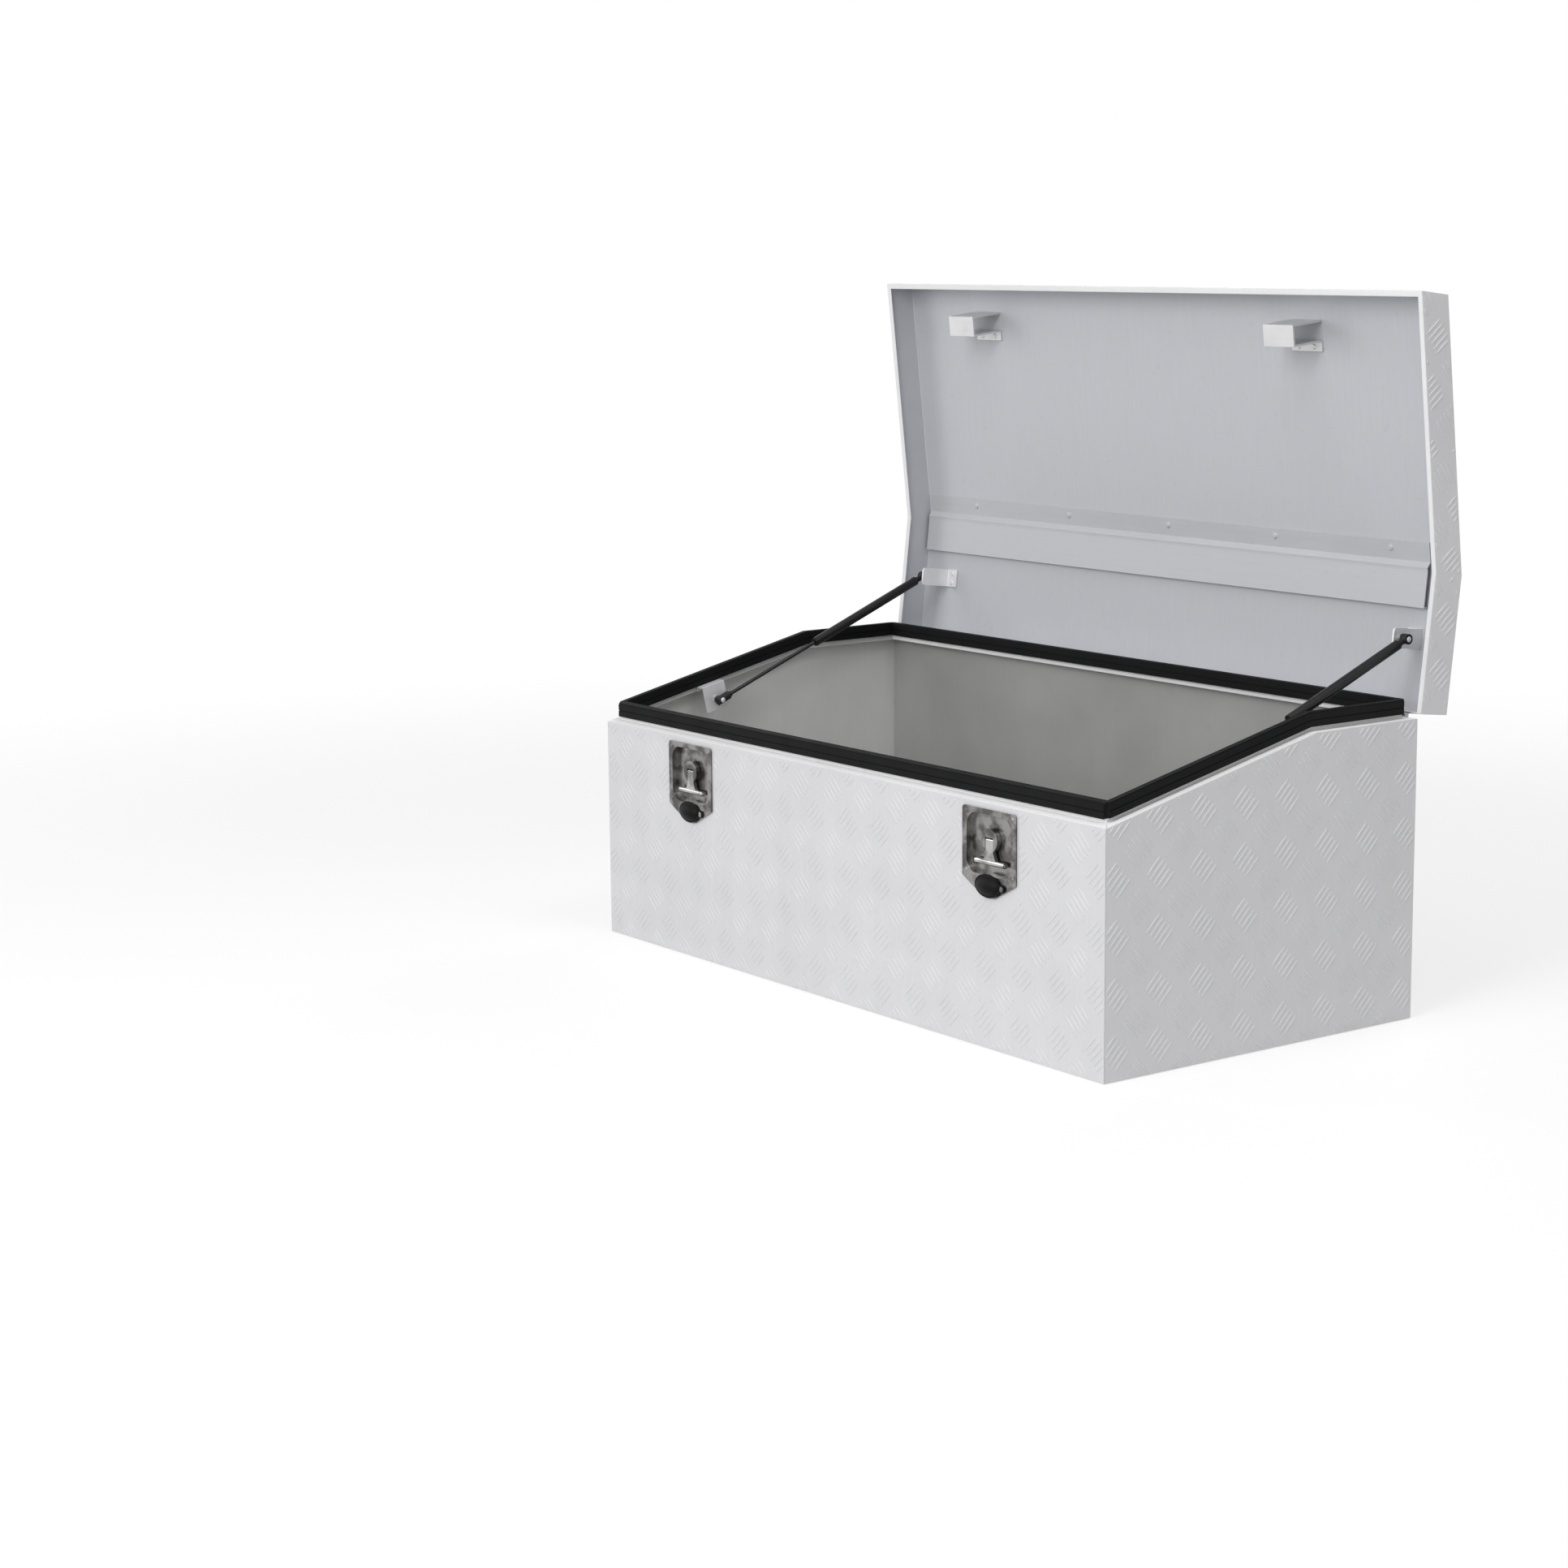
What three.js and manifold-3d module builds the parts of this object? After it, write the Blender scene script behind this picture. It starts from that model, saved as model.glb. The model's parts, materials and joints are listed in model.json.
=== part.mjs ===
// Truck tool box with a sloped lid, folded and welded from aluminium tread plate.
// Millimetres. The origin is the centre of the underside, +X runs along the front to the right,
// +Y to the rear and +Z up. The lid is modelled closed and then turned open about its hinge.

import * as THREE from "three";
import { mergeVertices } from "three/addons/utils/BufferGeometryUtils.js";
import Module from "manifold-3d";

const wasm = await Module();
wasm.setup();

// Outer sizes of the body and the lid
const boxWidth = 1200;
const boxDepth = 585;
const frontHeight = 345;
const rearHeight = 434;
const flatDepth = 199;
const lidHeight = 56;
const lidLip = 8.5;
const seamGap = 2.5;
const lidOpenAngle = THREE.MathUtils.degToRad(96.84);

// Sheet metal and fits
const sheet = 2;
const mitreGap = 0.3;
const seat = 0.3;
const runningGap = 0.5;
const rivetSink = 0.2;

// Rim: the walls fold in as a ledge and up as a lip, which carries the seal
const ledgeWidth = 15.5;
const lipHeight = 19;
const sealBottom = 6.5;
const sealHeight = 21;
const sealWidth = 12;
const sealCornerCut = 6.5;
const sealGroove = 1.2;
const bandOverlap = 0.2;

// Piano hinge on the outside of the rear walls
const hingeLength = 1150;
const knuckleCount = 23;
const knuckleRadius = 4;
const knuckleGap = 0.6;
const hingePinRadius = 2;
const leafThickness = 1.5;
const leafHeight = 28;
const hingeRivetCount = 9;
const hingeRivetRadius = 4.5;
const hingeRivetHead = 1.6;
const hingeRivetLine = 0.62;

// Bent brace across the fold, on the inside of the lid
const braceSlantReach = 43;
const braceFlatReach = 50;
const braceRise = 7;
const braceLeftGap = 7;
const braceRightGap = 55;
const braceSheet = 2;
const braceScrewCount = 5;
const braceScrewPitch = 235;
const braceScrewLine = 0.72;
const screwHeadRadius = 5;
const screwHeadHeight = 2.5;

// Strikers, channels hanging from the inside of the lid, with a riveted foot at their rear
const strikerWidth = 61;
const strikerChannel = 32;
const strikerDrop = 59.5;
const strikerSheet = 3;
const strikerFoot = 14;
const strikerFromFront = 55;
const strikerRivetRadius = 4;
const strikerRivetHead = 1.6;

// Gas struts: ball positions in the strut's plane
const strutFromLip = 31.5;
const bodyBallFromFront = 188;
const bodyBallDrop = 20.2;
const lidBallReach = 106.6;
const lidBallRise = 7.6;
const ballRadius = 5;
const studRadius = 3;
const studHexRadius = 6.5;
const studHexHeight = 3;
const ballSocketRadius = 7;
const rodSocketLength = 17;
const rodRadius = 3;
const rodExposed = 209;
const rodInsideTube = 24;
const pistonLength = 10;
const tubeRadius = 7.5;
const tubeWall = 1.5;
const tubeEndLength = 12;
const glandLength = 9;
const glandCollar = 2;
const lidSocketRadius = 6;

// Brackets that carry the ball studs
const bracketSheet = 3;
const bodyBracketLength = 43;
const bodyBracketBelowBall = 18;
const bodyBracketGap = 12;
const bracketCorner = 5;
const lidBracketWidth = 29;
const lidBracketFoot = 22;
const lidBracketGap = 12;
const bracketRivetRadius = 3.5;
const bracketRivetHead = 1.6;

// Latches: two folding T-handles
const latchFromEnd = 237;
const latchPlateWidth = 115;
const latchPlateDrop = 7.5;
const latchSideLength = 99;
const latchPointLength = 24;
const latchPlateSheet = 1.5;
const latchCorner = 5;
const gasketSheet = 1.2;
const dishWidth = 96;
const dishHeight = 85;
const dishDepth = 9;
const dishCorner = 20;
const dishFromTop = 7.5;
const hubFromDishTop = 36;
const hubRadius = 17;
const hubHeight = 8;
const handleBarLength = 66;
const handleBarRadius = 5;
const handleBarStep = 2;
const handleBarDrop = 31;
const handleShankWidth = 16;
const handleShankSheet = 6;
const handlePinRadius = 1.5;
const spindleRadius = 6;
const bearingRadius = 10;
const bearingLength = 22;
const bearingNutRadius = 15;
const bearingNutHeight = 5;
const hookSheet = 5;
const hookBand = 11;
const hookReach = 30;
const hookClearance = 1.5;
const hookNutRadius = 9;
const hookNutHeight = 6;
const latchRivetRadius = 4;
const latchRivetHead = 1.8;
const latchRivetInset = 8;
const barrelRadius = 8;
const barrelLength = 26;
const barrelTailLength = 18;
const capWidth = 54;
const capHeight = 33;
const capDome = 11;
const capRim = 2.5;
const capRimStep = 3;
const capCentreDrop = 106.5;
const capPivotOffset = 30.5;
const capEarRadius = 5.5;
const capPivotRadius = 2;

const front = -boxDepth / 2;
const rear = boxDepth / 2;
const side = boxWidth / 2;
const foldY = rear - flatDepth;
const slope = Math.atan((rearHeight - frontHeight) / (foldY - front));
const hingeY = rear + seat + knuckleRadius;
const hingeZ = rearHeight + seamGap / 2;

const finishes = {
  treadPlate: { color: 0xc4c6c9, roughness: 0.42, metalness: 0.85 },
  plainAluminium: { color: 0xb4b6ba, roughness: 0.5, metalness: 0.85 },
  stainless: { color: 0x9a9894, roughness: 0.32, metalness: 0.95 },
  zinc: { color: 0xa9abab, roughness: 0.45, metalness: 0.8 },
  rodBlack: { color: 0x202124, roughness: 0.3, metalness: 0.6 },
  strutPaint: { color: 0x17181a, roughness: 0.4, metalness: 0.2 },
  blackPlastic: { color: 0x1c1d1f, roughness: 0.6, metalness: 0 },
  rubber: { color: 0x1b1c1d, roughness: 0.75, metalness: 0 },
  brass: { color: 0xb08d4a, roughness: 0.35, metalness: 0.9 },
};

// Solids

function solidOf(geometry) {
  const bare = new THREE.BufferGeometry();
  bare.setAttribute("position", geometry.getAttribute("position"));
  if (geometry.index) bare.setIndex(geometry.index);
  const merged = mergeVertices(bare);
  return new wasm.Manifold(new wasm.Mesh({
    numProp: 3,
    vertProperties: merged.getAttribute("position").array,
    triVerts: new Uint32Array(merged.index.array),
  }));
}

function geometryOf(solid) {
  const mesh = solid.getMesh();
  const geometry = new THREE.BufferGeometry();
  geometry.setAttribute("position", new THREE.BufferAttribute(new Float32Array(mesh.vertProperties), 3));
  geometry.setIndex(new THREE.BufferAttribute(new Uint32Array(mesh.triVerts), 1));
  geometry.computeVertexNormals();
  return geometry;
}

function join(solids) {
  return solids.reduce((whole, solid) => whole.add(solid));
}

function shapeOf(outline) {
  return outline instanceof THREE.Shape ? outline : new THREE.Shape(outline.map(([u, v]) => new THREE.Vector2(u, v)));
}

function extrude(outline, depth, curveSegments) {
  return new THREE.ExtrudeGeometry(shapeOf(outline), { depth, bevelEnabled: false, curveSegments });
}

const axisX = new THREE.Vector3(1, 0, 0);
const axisY = new THREE.Vector3(0, 1, 0);
const axisZ = new THREE.Vector3(0, 0, 1);
const towardsFront = new THREE.Vector3(0, -1, 0);

// An outline in Y and Z, swept along X.
function alongX(outline, from, to, curveSegments = 6) {
  const frame = new THREE.Matrix4().makeBasis(axisY, axisZ, axisX).setPosition(from, 0, 0);
  return solidOf(extrude(outline, to - from, curveSegments).applyMatrix4(frame));
}

// An outline in X and Z, swept along Y between its front and its back.
function alongY(outline, from, to, curveSegments = 6) {
  const frame = new THREE.Matrix4().makeBasis(axisX, axisZ, towardsFront).setPosition(0, to, 0);
  return solidOf(extrude(outline, to - from, curveSegments).applyMatrix4(frame));
}

// An outline in X and Y, swept along Z.
function alongZ(outline, from, to, curveSegments = 6) {
  return solidOf(extrude(outline, to - from, curveSegments).translate(0, 0, from));
}

// A round bar between two points.
function bar(start, end, radius, sides = 16) {
  const from = new THREE.Vector3(...start);
  const span = new THREE.Vector3(...end).sub(from);
  const turn = new THREE.Quaternion().setFromUnitVectors(axisY, span.clone().normalize());
  const geometry = new THREE.CylinderGeometry(radius, radius, span.length(), sides);
  geometry.applyQuaternion(turn).translate(...from.addScaledVector(span, 0.5).toArray());
  return solidOf(geometry);
}

function ball(centre, radius, sides = 16) {
  return solidOf(new THREE.SphereGeometry(radius, sides, sides * 0.625).translate(...centre));
}

// A turned piece: a profile of [radius, height] that starts and ends on its axis, standing on a point.
function turned(profile, foot, direction, sides = 16) {
  const turn = new THREE.Quaternion().setFromUnitVectors(axisY, direction);
  const points = profile.map(([radius, height]) => new THREE.Vector2(radius, height));
  return solidOf(new THREE.LatheGeometry(points, sides).applyQuaternion(turn).translate(...foot));
}

// A rivet's or screw's domed head, standing on a point.
function rivet(foot, direction, radius, height) {
  return turned([[0, -rivetSink], [radius, -rivetSink], [radius, 0], [radius * 0.8, height * 0.7], [0, height]],
    foot, direction, 12);
}

function roundedRectangle(left, low, right, high, radius) {
  const shape = new THREE.Shape();
  shape.moveTo(left + radius, low);
  shape.absarc(right - radius, low + radius, radius, -Math.PI / 2, 0);
  shape.absarc(right - radius, high - radius, radius, 0, Math.PI / 2);
  shape.absarc(left + radius, high - radius, radius, Math.PI / 2, Math.PI);
  shape.absarc(left + radius, low + radius, radius, Math.PI, Math.PI * 1.5);
  return shape;
}

function rectangle(left, low, right, high) {
  return [[left, low], [right, low], [right, high], [left, high]];
}

// Two places, the lower one first.
function ordered(one, other) {
  return one < other ? [one, other] : [other, one];
}

// A sheet bent along a line of points: the line is its first face, and it thickens to the left of its run.
function bentSheet(line, thickness) {
  const normals = line.slice(1).map(([u, v], index) => {
    const [du, dv] = [u - line[index][0], v - line[index][1]];
    const length = Math.hypot(du, dv);
    return [-dv / length, du / length];
  });
  const far = line.map(([u, v], index) => {
    const before = normals[Math.max(index - 1, 0)];
    const after = normals[Math.min(index, normals.length - 1)];
    const scale = thickness / (1 + before[0] * after[0] + before[1] * after[1]);
    return [u + (before[0] + after[0]) * scale, v + (before[1] + after[1]) * scale];
  });
  return [...line, ...far.reverse()];
}

// The side profile, seen from the right: a slope up from the front, then a level stretch

// Height of the profile at a depth, raised by lift and moved square to itself by offset.
function profileAt(y, lift, offset) {
  const slanted = frontHeight + (y - front) * Math.tan(slope) + offset / Math.cos(slope);
  return Math.min(slanted, rearHeight + offset) + lift;
}

function profileFold(offset) {
  return foldY + (offset * (1 - 1 / Math.cos(slope))) / Math.tan(slope);
}

// Points of the profile from one depth to another.
function profileLine(from, to, lift, offset) {
  const fold = profileFold(offset);
  const depths = from < fold && fold < to ? [from, fold, to] : [from, to];
  return depths.map((y) => [y, profileAt(y, lift, offset)]);
}

// A band that follows the profile between two offsets.
function profileBand(from, to, low, high) {
  return [...profileLine(from, to, 0, low), ...profileLine(from, to, 0, high).reverse()];
}

// Group tree

const part = new THREE.Group();

function turnedGroup(parent, pivot, angle) {
  const hinge = new THREE.Group();
  hinge.position.set(...pivot);
  hinge.rotation.x = angle;
  const content = new THREE.Group();
  content.position.set(...pivot.map((value) => -value));
  hinge.add(content);
  parent.add(hinge);
  return content;
}

const lid = turnedGroup(part, [0, hingeY, hingeZ], -lidOpenAngle);

function addPiece(group, name, solid, finish) {
  const mesh = new THREE.Mesh(geometryOf(solid), new THREE.MeshStandardMaterial(finish));
  mesh.name = name;
  group.add(mesh);
}

// Body panels and rim

// Plan outline that mitres the pieces of one side of the rim at 45 degrees to their neighbours.
function mitrePlan(halfLength, outerEdge, inward) {
  const reach = ledgeWidth + sealWidth;
  const half = halfLength - mitreGap / 2;
  return [[-half, outerEdge], [half, outerEdge], [half - reach, outerEdge + inward * reach],
    [-half + reach, outerEdge + inward * reach]];
}

const tall = rearHeight + lidHeight;
const frontMitre = alongZ(mitrePlan(side, front, 1), 0, tall);
const rearMitre = alongZ(mitrePlan(side, rear, -1).reverse(), 0, tall);
const endPlan = mitrePlan(rear, side, -1).map(([along, across]) => [across, along]);
const rightMitre = alongZ(endPlan, 0, tall);
const leftMitre = alongZ(endPlan.map(([x, y]) => [-x, y]).reverse(), 0, tall);

const lipFace = side - ledgeWidth;
const lipBack = lipFace - sheet;

// Wall, ledge and lip of a long side, as one folded sheet.
function longPanel(outer, inward) {
  const [wallFrom, wallTo] = ordered(outer, outer + inward * sheet);
  const [ledgeFrom, ledgeTo] = ordered(outer, outer + inward * (ledgeWidth + sheet));
  const [lipFrom, lipTo] = ordered(outer + inward * ledgeWidth, outer + inward * (ledgeWidth + sheet));
  const wall = [[wallFrom, 0], [wallTo, 0], ...profileLine(wallFrom, wallTo, 0, 0).reverse()];
  const ledge = profileBand(ledgeFrom, ledgeTo, -sheet, 0);
  const lip = profileBand(lipFrom, lipTo, -sheet, lipHeight);
  return join([wall, ledge, lip].map((outline) => alongX(outline, -side, side)));
}

// Wall, ledge and lip of an end, as one folded sheet.
function endPanel(mirror) {
  const wall = [[front, 0], [rear, 0], ...profileLine(front, rear, 0, 0).reverse()];
  const strips = [
    [wall, side - sheet, side],
    [profileBand(front, rear, -sheet, 0), lipBack, side],
    [profileBand(front, rear, -sheet, lipHeight), lipBack, lipFace],
  ];
  return join(strips.map(([outline, from, to]) => alongX(outline, ...ordered(mirror * from, mirror * to))));
}

// Rubber edge trim on the lip, in bands: a groove runs between its two ribs and its top is rounded
const sealTop = sealBottom + sealHeight;
const sealBands = [
  [0, 0.42, 0],
  [0.42, 0.5, sealGroove],
  [0.5, 0.9, 0],
  [0.9, 1, sealGroove],
].map(([low, high, inset]) => ({
  low: sealBottom + low * sealHeight - (low > 0 ? bandOverlap : 0),
  high: sealBottom + high * sealHeight,
  inset,
}));
const lipMiddle = ledgeWidth + sheet / 2;
const sealOuter = lipMiddle - sealWidth / 2;
const sealInner = lipMiddle + sealWidth / 2;
const lipSlot = sheet / 2 + seat;

function longSeal(outer, inward) {
  const strip = (near, far, low, high) => {
    const [from, to] = ordered(outer + inward * near, outer + inward * far);
    return alongX(profileBand(from, to, low, high), -side, side);
  };
  return join(sealBands.map(({ low, high, inset }) => strip(sealOuter + inset, sealInner - inset, low, high)))
    .subtract(strip(lipMiddle - lipSlot, lipMiddle + lipSlot, 0, lipHeight + seat));
}

function endSeal(mirror) {
  const strip = (near, far, low, high) => {
    const [from, to] = ordered(mirror * (side - near), mirror * (side - far));
    return alongX(profileBand(front, rear, low, high), from, to);
  };
  return join(sealBands.map(({ low, high, inset }) => strip(sealOuter + inset, sealInner - inset, low, high)))
    .subtract(strip(lipMiddle - lipSlot, lipMiddle + lipSlot, 0, lipHeight + seat));
}

// Latches

const plateTop = frontHeight - latchPlateDrop;
const dishTop = plateTop - dishFromTop;
const hubZ = dishTop - hubFromDishTop;
const plateBack = front - gasketSheet;
const plateFront = plateBack - latchPlateSheet;
const dishFloor = plateFront + dishDepth;
const capZ = plateTop - capCentreDrop;
const latchXs = { left: latchFromEnd - side, right: side - latchFromEnd };

// Striker channel, in the closed lid's frame: along the slope from the fold, and square down from the skin
const skinFold = [profileFold(-sheet), rearHeight + lidHeight - sheet];

function underSlope(along, down) {
  return [skinFold[0] - along * Math.cos(slope) + down * Math.sin(slope),
    skinFold[1] - along * Math.sin(slope) - down * Math.cos(slope)];
}

const strikerFromFold = (foldY - front) / Math.cos(slope) - strikerFromFront;
const strikerFront = strikerFromFold + strikerChannel / 2;
const strikerRear = strikerFromFold - strikerChannel / 2;
const strikerOffset = -(strikerWidth / 2 + hookBand / 2 + hookClearance);
const [hookY, webTop] = underSlope(strikerFromFold, strikerDrop - strikerSheet);

function plateOutline(grow) {
  const half = latchPlateWidth / 2 + grow;
  const top = plateTop + grow;
  const low = plateTop - latchSideLength;
  const shape = new THREE.Shape();
  shape.moveTo(-half, low);
  shape.lineTo(-latchPointLength / 2, low - latchPointLength);
  shape.quadraticCurveTo(0, low - latchPointLength - latchCorner / 2, latchPointLength / 2, low - latchPointLength);
  shape.lineTo(half, low);
  shape.lineTo(half, top - latchCorner);
  shape.absarc(half - latchCorner, top - latchCorner, latchCorner, 0, Math.PI / 2);
  shape.absarc(-half + latchCorner, top - latchCorner, latchCorner, Math.PI / 2, Math.PI);
  return shape;
}

function dishOutline(grow) {
  const half = dishWidth / 2 + grow;
  return roundedRectangle(-half, dishTop - dishHeight - grow, half, dishTop + grow, dishCorner + grow);
}

const dishWallGap = latchPlateSheet + seat;
const barrelHole = (from, to, gap) => bar([0, from, capZ], [0, to, capZ], barrelRadius + gap, 20);

// Everything that passes through the front wall at a latch.
function latchOpening() {
  return join([
    alongY(dishOutline(dishWallGap), front - sheet, front + 2 * sheet),
    barrelHole(front - sheet, front + 2 * sheet, runningGap),
  ]);
}

const rivetReach = latchPlateWidth / 2 - latchRivetInset;
const rivetSpots = [plateTop - latchRivetInset, plateTop - latchSideLength + latchRivetInset]
  .flatMap((z) => [[-rivetReach, z], [rivetReach, z]]);

function buildGasket() {
  return alongY(plateOutline(-1), plateBack, front)
    .subtract(alongY(dishOutline(dishWallGap), plateBack - 1, front + 1))
    .subtract(barrelHole(plateBack - 1, front + 1, runningGap));
}

function buildPlate() {
  const plate = alongY(plateOutline(0), plateFront, plateBack);
  const pan = alongY(dishOutline(latchPlateSheet), plateFront, dishFloor + latchPlateSheet);
  const hollow = alongY(dishOutline(0), plateFront - 1, dishFloor);
  const spindleHole = bar([0, dishFloor - 1, hubZ], [0, dishFloor + 2 * latchPlateSheet, hubZ], spindleRadius + seat, 20);
  return join([plate, pan]).subtract(hollow).subtract(spindleHole)
    .subtract(barrelHole(plateFront - 1, plateBack + 1, seat))
    .add(join(latchRivets()));
}

// Four rivets set in the plate, and the headed one that the key cap swings on.
function latchRivets() {
  const capPivotLength = capRim + 2 * runningGap;
  const pivot = [[0, 0], [capPivotRadius, 0], [capPivotRadius, capPivotLength], [2 * capPivotRadius, capPivotLength],
    [0, capPivotLength + latchRivetHead]];
  return [
    ...rivetSpots.map(([x, z]) => rivet([x, plateFront, z], towardsFront, latchRivetRadius, latchRivetHead)),
    turned(pivot, [capPivotOffset, plateFront, capZ], towardsFront, 12),
  ];
}

const bearingStart = dishFloor + latchPlateSheet;
const bearingEnd = bearingStart + bearingLength;

function buildBearing() {
  const sleeve = bar([0, bearingStart, hubZ], [0, bearingEnd, hubZ], bearingRadius, 20);
  const nut = bar([0, bearingStart, hubZ], [0, bearingStart + bearingNutHeight, hubZ], bearingNutRadius, 6);
  return sleeve.add(nut).subtract(bar([0, bearingStart - 1, hubZ], [0, bearingEnd + 1, hubZ], spindleRadius + seat, 20));
}

const hubFront = dishFloor - runningGap - hubHeight;
const pinY = hubFront + hubHeight / 2 - 0.4;
const spindleEnd = hookY + hookSheet / 2 + hookNutHeight + 2;

function buildSpindle() {
  const hub = bar([0, hubFront, hubZ], [0, dishFloor - runningGap, hubZ], hubRadius, 28);
  const spindle = bar([0, dishFloor - runningGap - 1, hubZ], [0, spindleEnd, hubZ], spindleRadius, 20);
  const slotHalf = handleShankWidth / 2 + runningGap;
  const slotTop = handleShankSheet / 2 + 1.2;
  const slot = alongX([[hubFront - 1, hubZ - hubRadius - 1], [dishFloor - 1.5, hubZ - hubRadius - 1],
    [dishFloor - 1.5, hubZ + slotTop], [hubFront - 1, hubZ + slotTop]], -slotHalf, slotHalf);
  const pinHole = bar([-hubRadius - 1, pinY, hubZ], [hubRadius + 1, pinY, hubZ], handlePinRadius + seat / 2, 12);
  return hub.add(spindle).subtract(slot).subtract(pinHole);
}

function buildHandlePin() {
  const half = hubRadius - 3;
  return bar([-half, pinY, hubZ], [half, pinY, hubZ], handlePinRadius, 12);
}

// T-handle folded flat: an eye on the pin, a shank that widens, and a round crossbar.
function buildHandle() {
  const half = handleShankWidth / 2;
  const eye = bar([-half, pinY, hubZ], [half, pinY, hubZ], handleShankSheet / 2, 16);
  const barZ = hubZ - handleBarDrop;
  const flare = [[-half, hubZ], [-half, hubZ - hubRadius], [-half * 1.7, barZ], [half * 1.7, barZ],
    [half, hubZ - hubRadius], [half, hubZ]];
  const shank = alongY(flare.reverse(), pinY - handleShankSheet / 2, pinY + handleShankSheet / 2 - 0.6);
  const barEnd = handleBarLength / 2;
  const round = bar([handleBarStep - barEnd, pinY, barZ], [barEnd - handleBarStep, pinY, barZ], handleBarRadius - 0.9, 16);
  const core = bar([-barEnd, pinY, barZ], [barEnd, pinY, barZ], handleBarRadius - handleBarStep, 16);
  const hole = bar([-half - 1, pinY, hubZ], [half + 1, pinY, hubZ], handlePinRadius + seat, 12);
  return join([eye, shank, round, core]).subtract(hole);
}

// Hook in its locked place: an arm straight up beside the striker's web and a finger over it. The finger follows
// a circle about the spindle, and the web rises by its own slant under the hook's thickness.
const webRise = (hookSheet / 2) * Math.tan(slope);
const fingerInner = Math.hypot(hookReach, webTop + webRise - hubZ) + hookClearance;

function buildHook() {
  const [from, to] = [hookY - hookSheet / 2, hookY + hookSheet / 2];
  const halfBand = hookBand / 2;
  const startAngle = Math.PI / 2 - Math.asin(halfBand / (fingerInner + hookBand));
  const tipAngle = Math.PI / 2 + Math.asin(hookReach / fingerInner);
  const finger = new THREE.Shape();
  finger.absarc(0, 0, fingerInner + hookBand, startAngle, tipAngle, false);
  finger.absarc(0, 0, fingerInner, tipAngle, startAngle, true);
  const arm = alongY(rectangle(-halfBand, 0, halfBand, fingerInner + halfBand), from, to);
  const eye = bar([0, from, 0], [0, to, 0], hookBand, 20);
  const bore = bar([0, from - 1, 0], [0, to + 1, 0], spindleRadius + seat, 20);
  const locked = join([alongY(finger, from, to, 8), arm, eye]).subtract(bore);
  const unlocked = new THREE.Matrix4().makeTranslation(0, 0, hubZ)
    .multiply(new THREE.Matrix4().makeRotationY(Math.PI / 2));
  return locked.transform(unlocked.elements);
}

function buildHookNut() {
  const from = hookY + hookSheet / 2 + seat;
  return bar([0, from, hubZ], [0, from + hookNutHeight, hubZ], hookNutRadius, 6)
    .subtract(bar([0, from - 1, hubZ], [0, from + hookNutHeight + 1, hubZ], spindleRadius + seat / 2, 20));
}

function buildBarrel() {
  const face = plateFront + 0.2;
  const back = face + barrelLength;
  const keyway = alongY(rectangle(-3.5, capZ - 0.8, 3.5, capZ + 0.8), face - 1, face + 3);
  const tail = alongY(roundedRectangle(-5, capZ - 5, barrelTailLength, capZ + 5, 4), back, back + 2);
  return barrelHole(face, back, 0).add(tail).subtract(keyway);
}

// Domed rubber cap over the keyhole, with an ear that swings on a rivet.
function buildCap() {
  const back = plateFront - runningGap;
  const rim = new THREE.Shape();
  rim.absellipse(0, capZ, capWidth / 2, capHeight / 2, 0, Math.PI * 2);
  const dome = new THREE.SphereGeometry(1, 24, 14)
    .scale(capWidth / 2 - capRimStep, capDome, capHeight / 2 - capRimStep).translate(0, back, capZ);
  const halfSpace = alongY(rectangle(-capWidth, capZ - capHeight, capWidth, capZ + capHeight), back - 2 * capDome, back);
  const ear = bar([capPivotOffset, back - capRim, capZ], [capPivotOffset, back, capZ], capEarRadius, 16);
  const neck = alongY(rectangle(0, capZ - capEarRadius, capPivotOffset, capZ + capEarRadius), back - capRim, back);
  return join([alongY(rim, back - capRim, back, 14), ear, neck, solidOf(dome).intersect(halfSpace)])
    .subtract(bar([capPivotOffset, back - capRim - 1, capZ], [capPivotOffset, back + 1, capZ], capPivotRadius + seat, 12));
}

// Body

const latchCuts = join(Object.values(latchXs).map((x) => latchOpening().translate([x, 0, 0])));
addPiece(part, "front_panel", longPanel(front, 1).intersect(frontMitre).subtract(latchCuts), finishes.treadPlate);
addPiece(part, "rear_panel", longPanel(rear, -1).intersect(rearMitre), finishes.treadPlate);
addPiece(part, "left_end_panel", endPanel(-1).intersect(leftMitre), finishes.treadPlate);
addPiece(part, "right_end_panel", endPanel(1).intersect(rightMitre), finishes.treadPlate);
const floorPlan = rectangle(-side + sheet, front + sheet, side - sheet, rear - sheet);
addPiece(part, "floor_panel", alongZ(floorPlan, 0, sheet), finishes.treadPlate);

// The outer corners of the trim are nicked, so that it bends round the lip's corners without a bulge.
const [cornerX, cornerY] = [side - sealOuter, rear - sealOuter];
const sealCorners = join([-cornerX, cornerX].flatMap((x) => [-cornerY, cornerY].map((y) =>
  bar([x, y, 0], [x, y, tall], sealCornerCut))));
const seals = {
  front: longSeal(front, 1).intersect(frontMitre),
  rear: longSeal(rear, -1).intersect(rearMitre),
  left: endSeal(-1).intersect(leftMitre),
  right: endSeal(1).intersect(rightMitre),
};
for (const [place, seal] of Object.entries(seals)) {
  addPiece(part, `seal_${place}`, seal.subtract(sealCorners), finishes.rubber);
}

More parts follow.
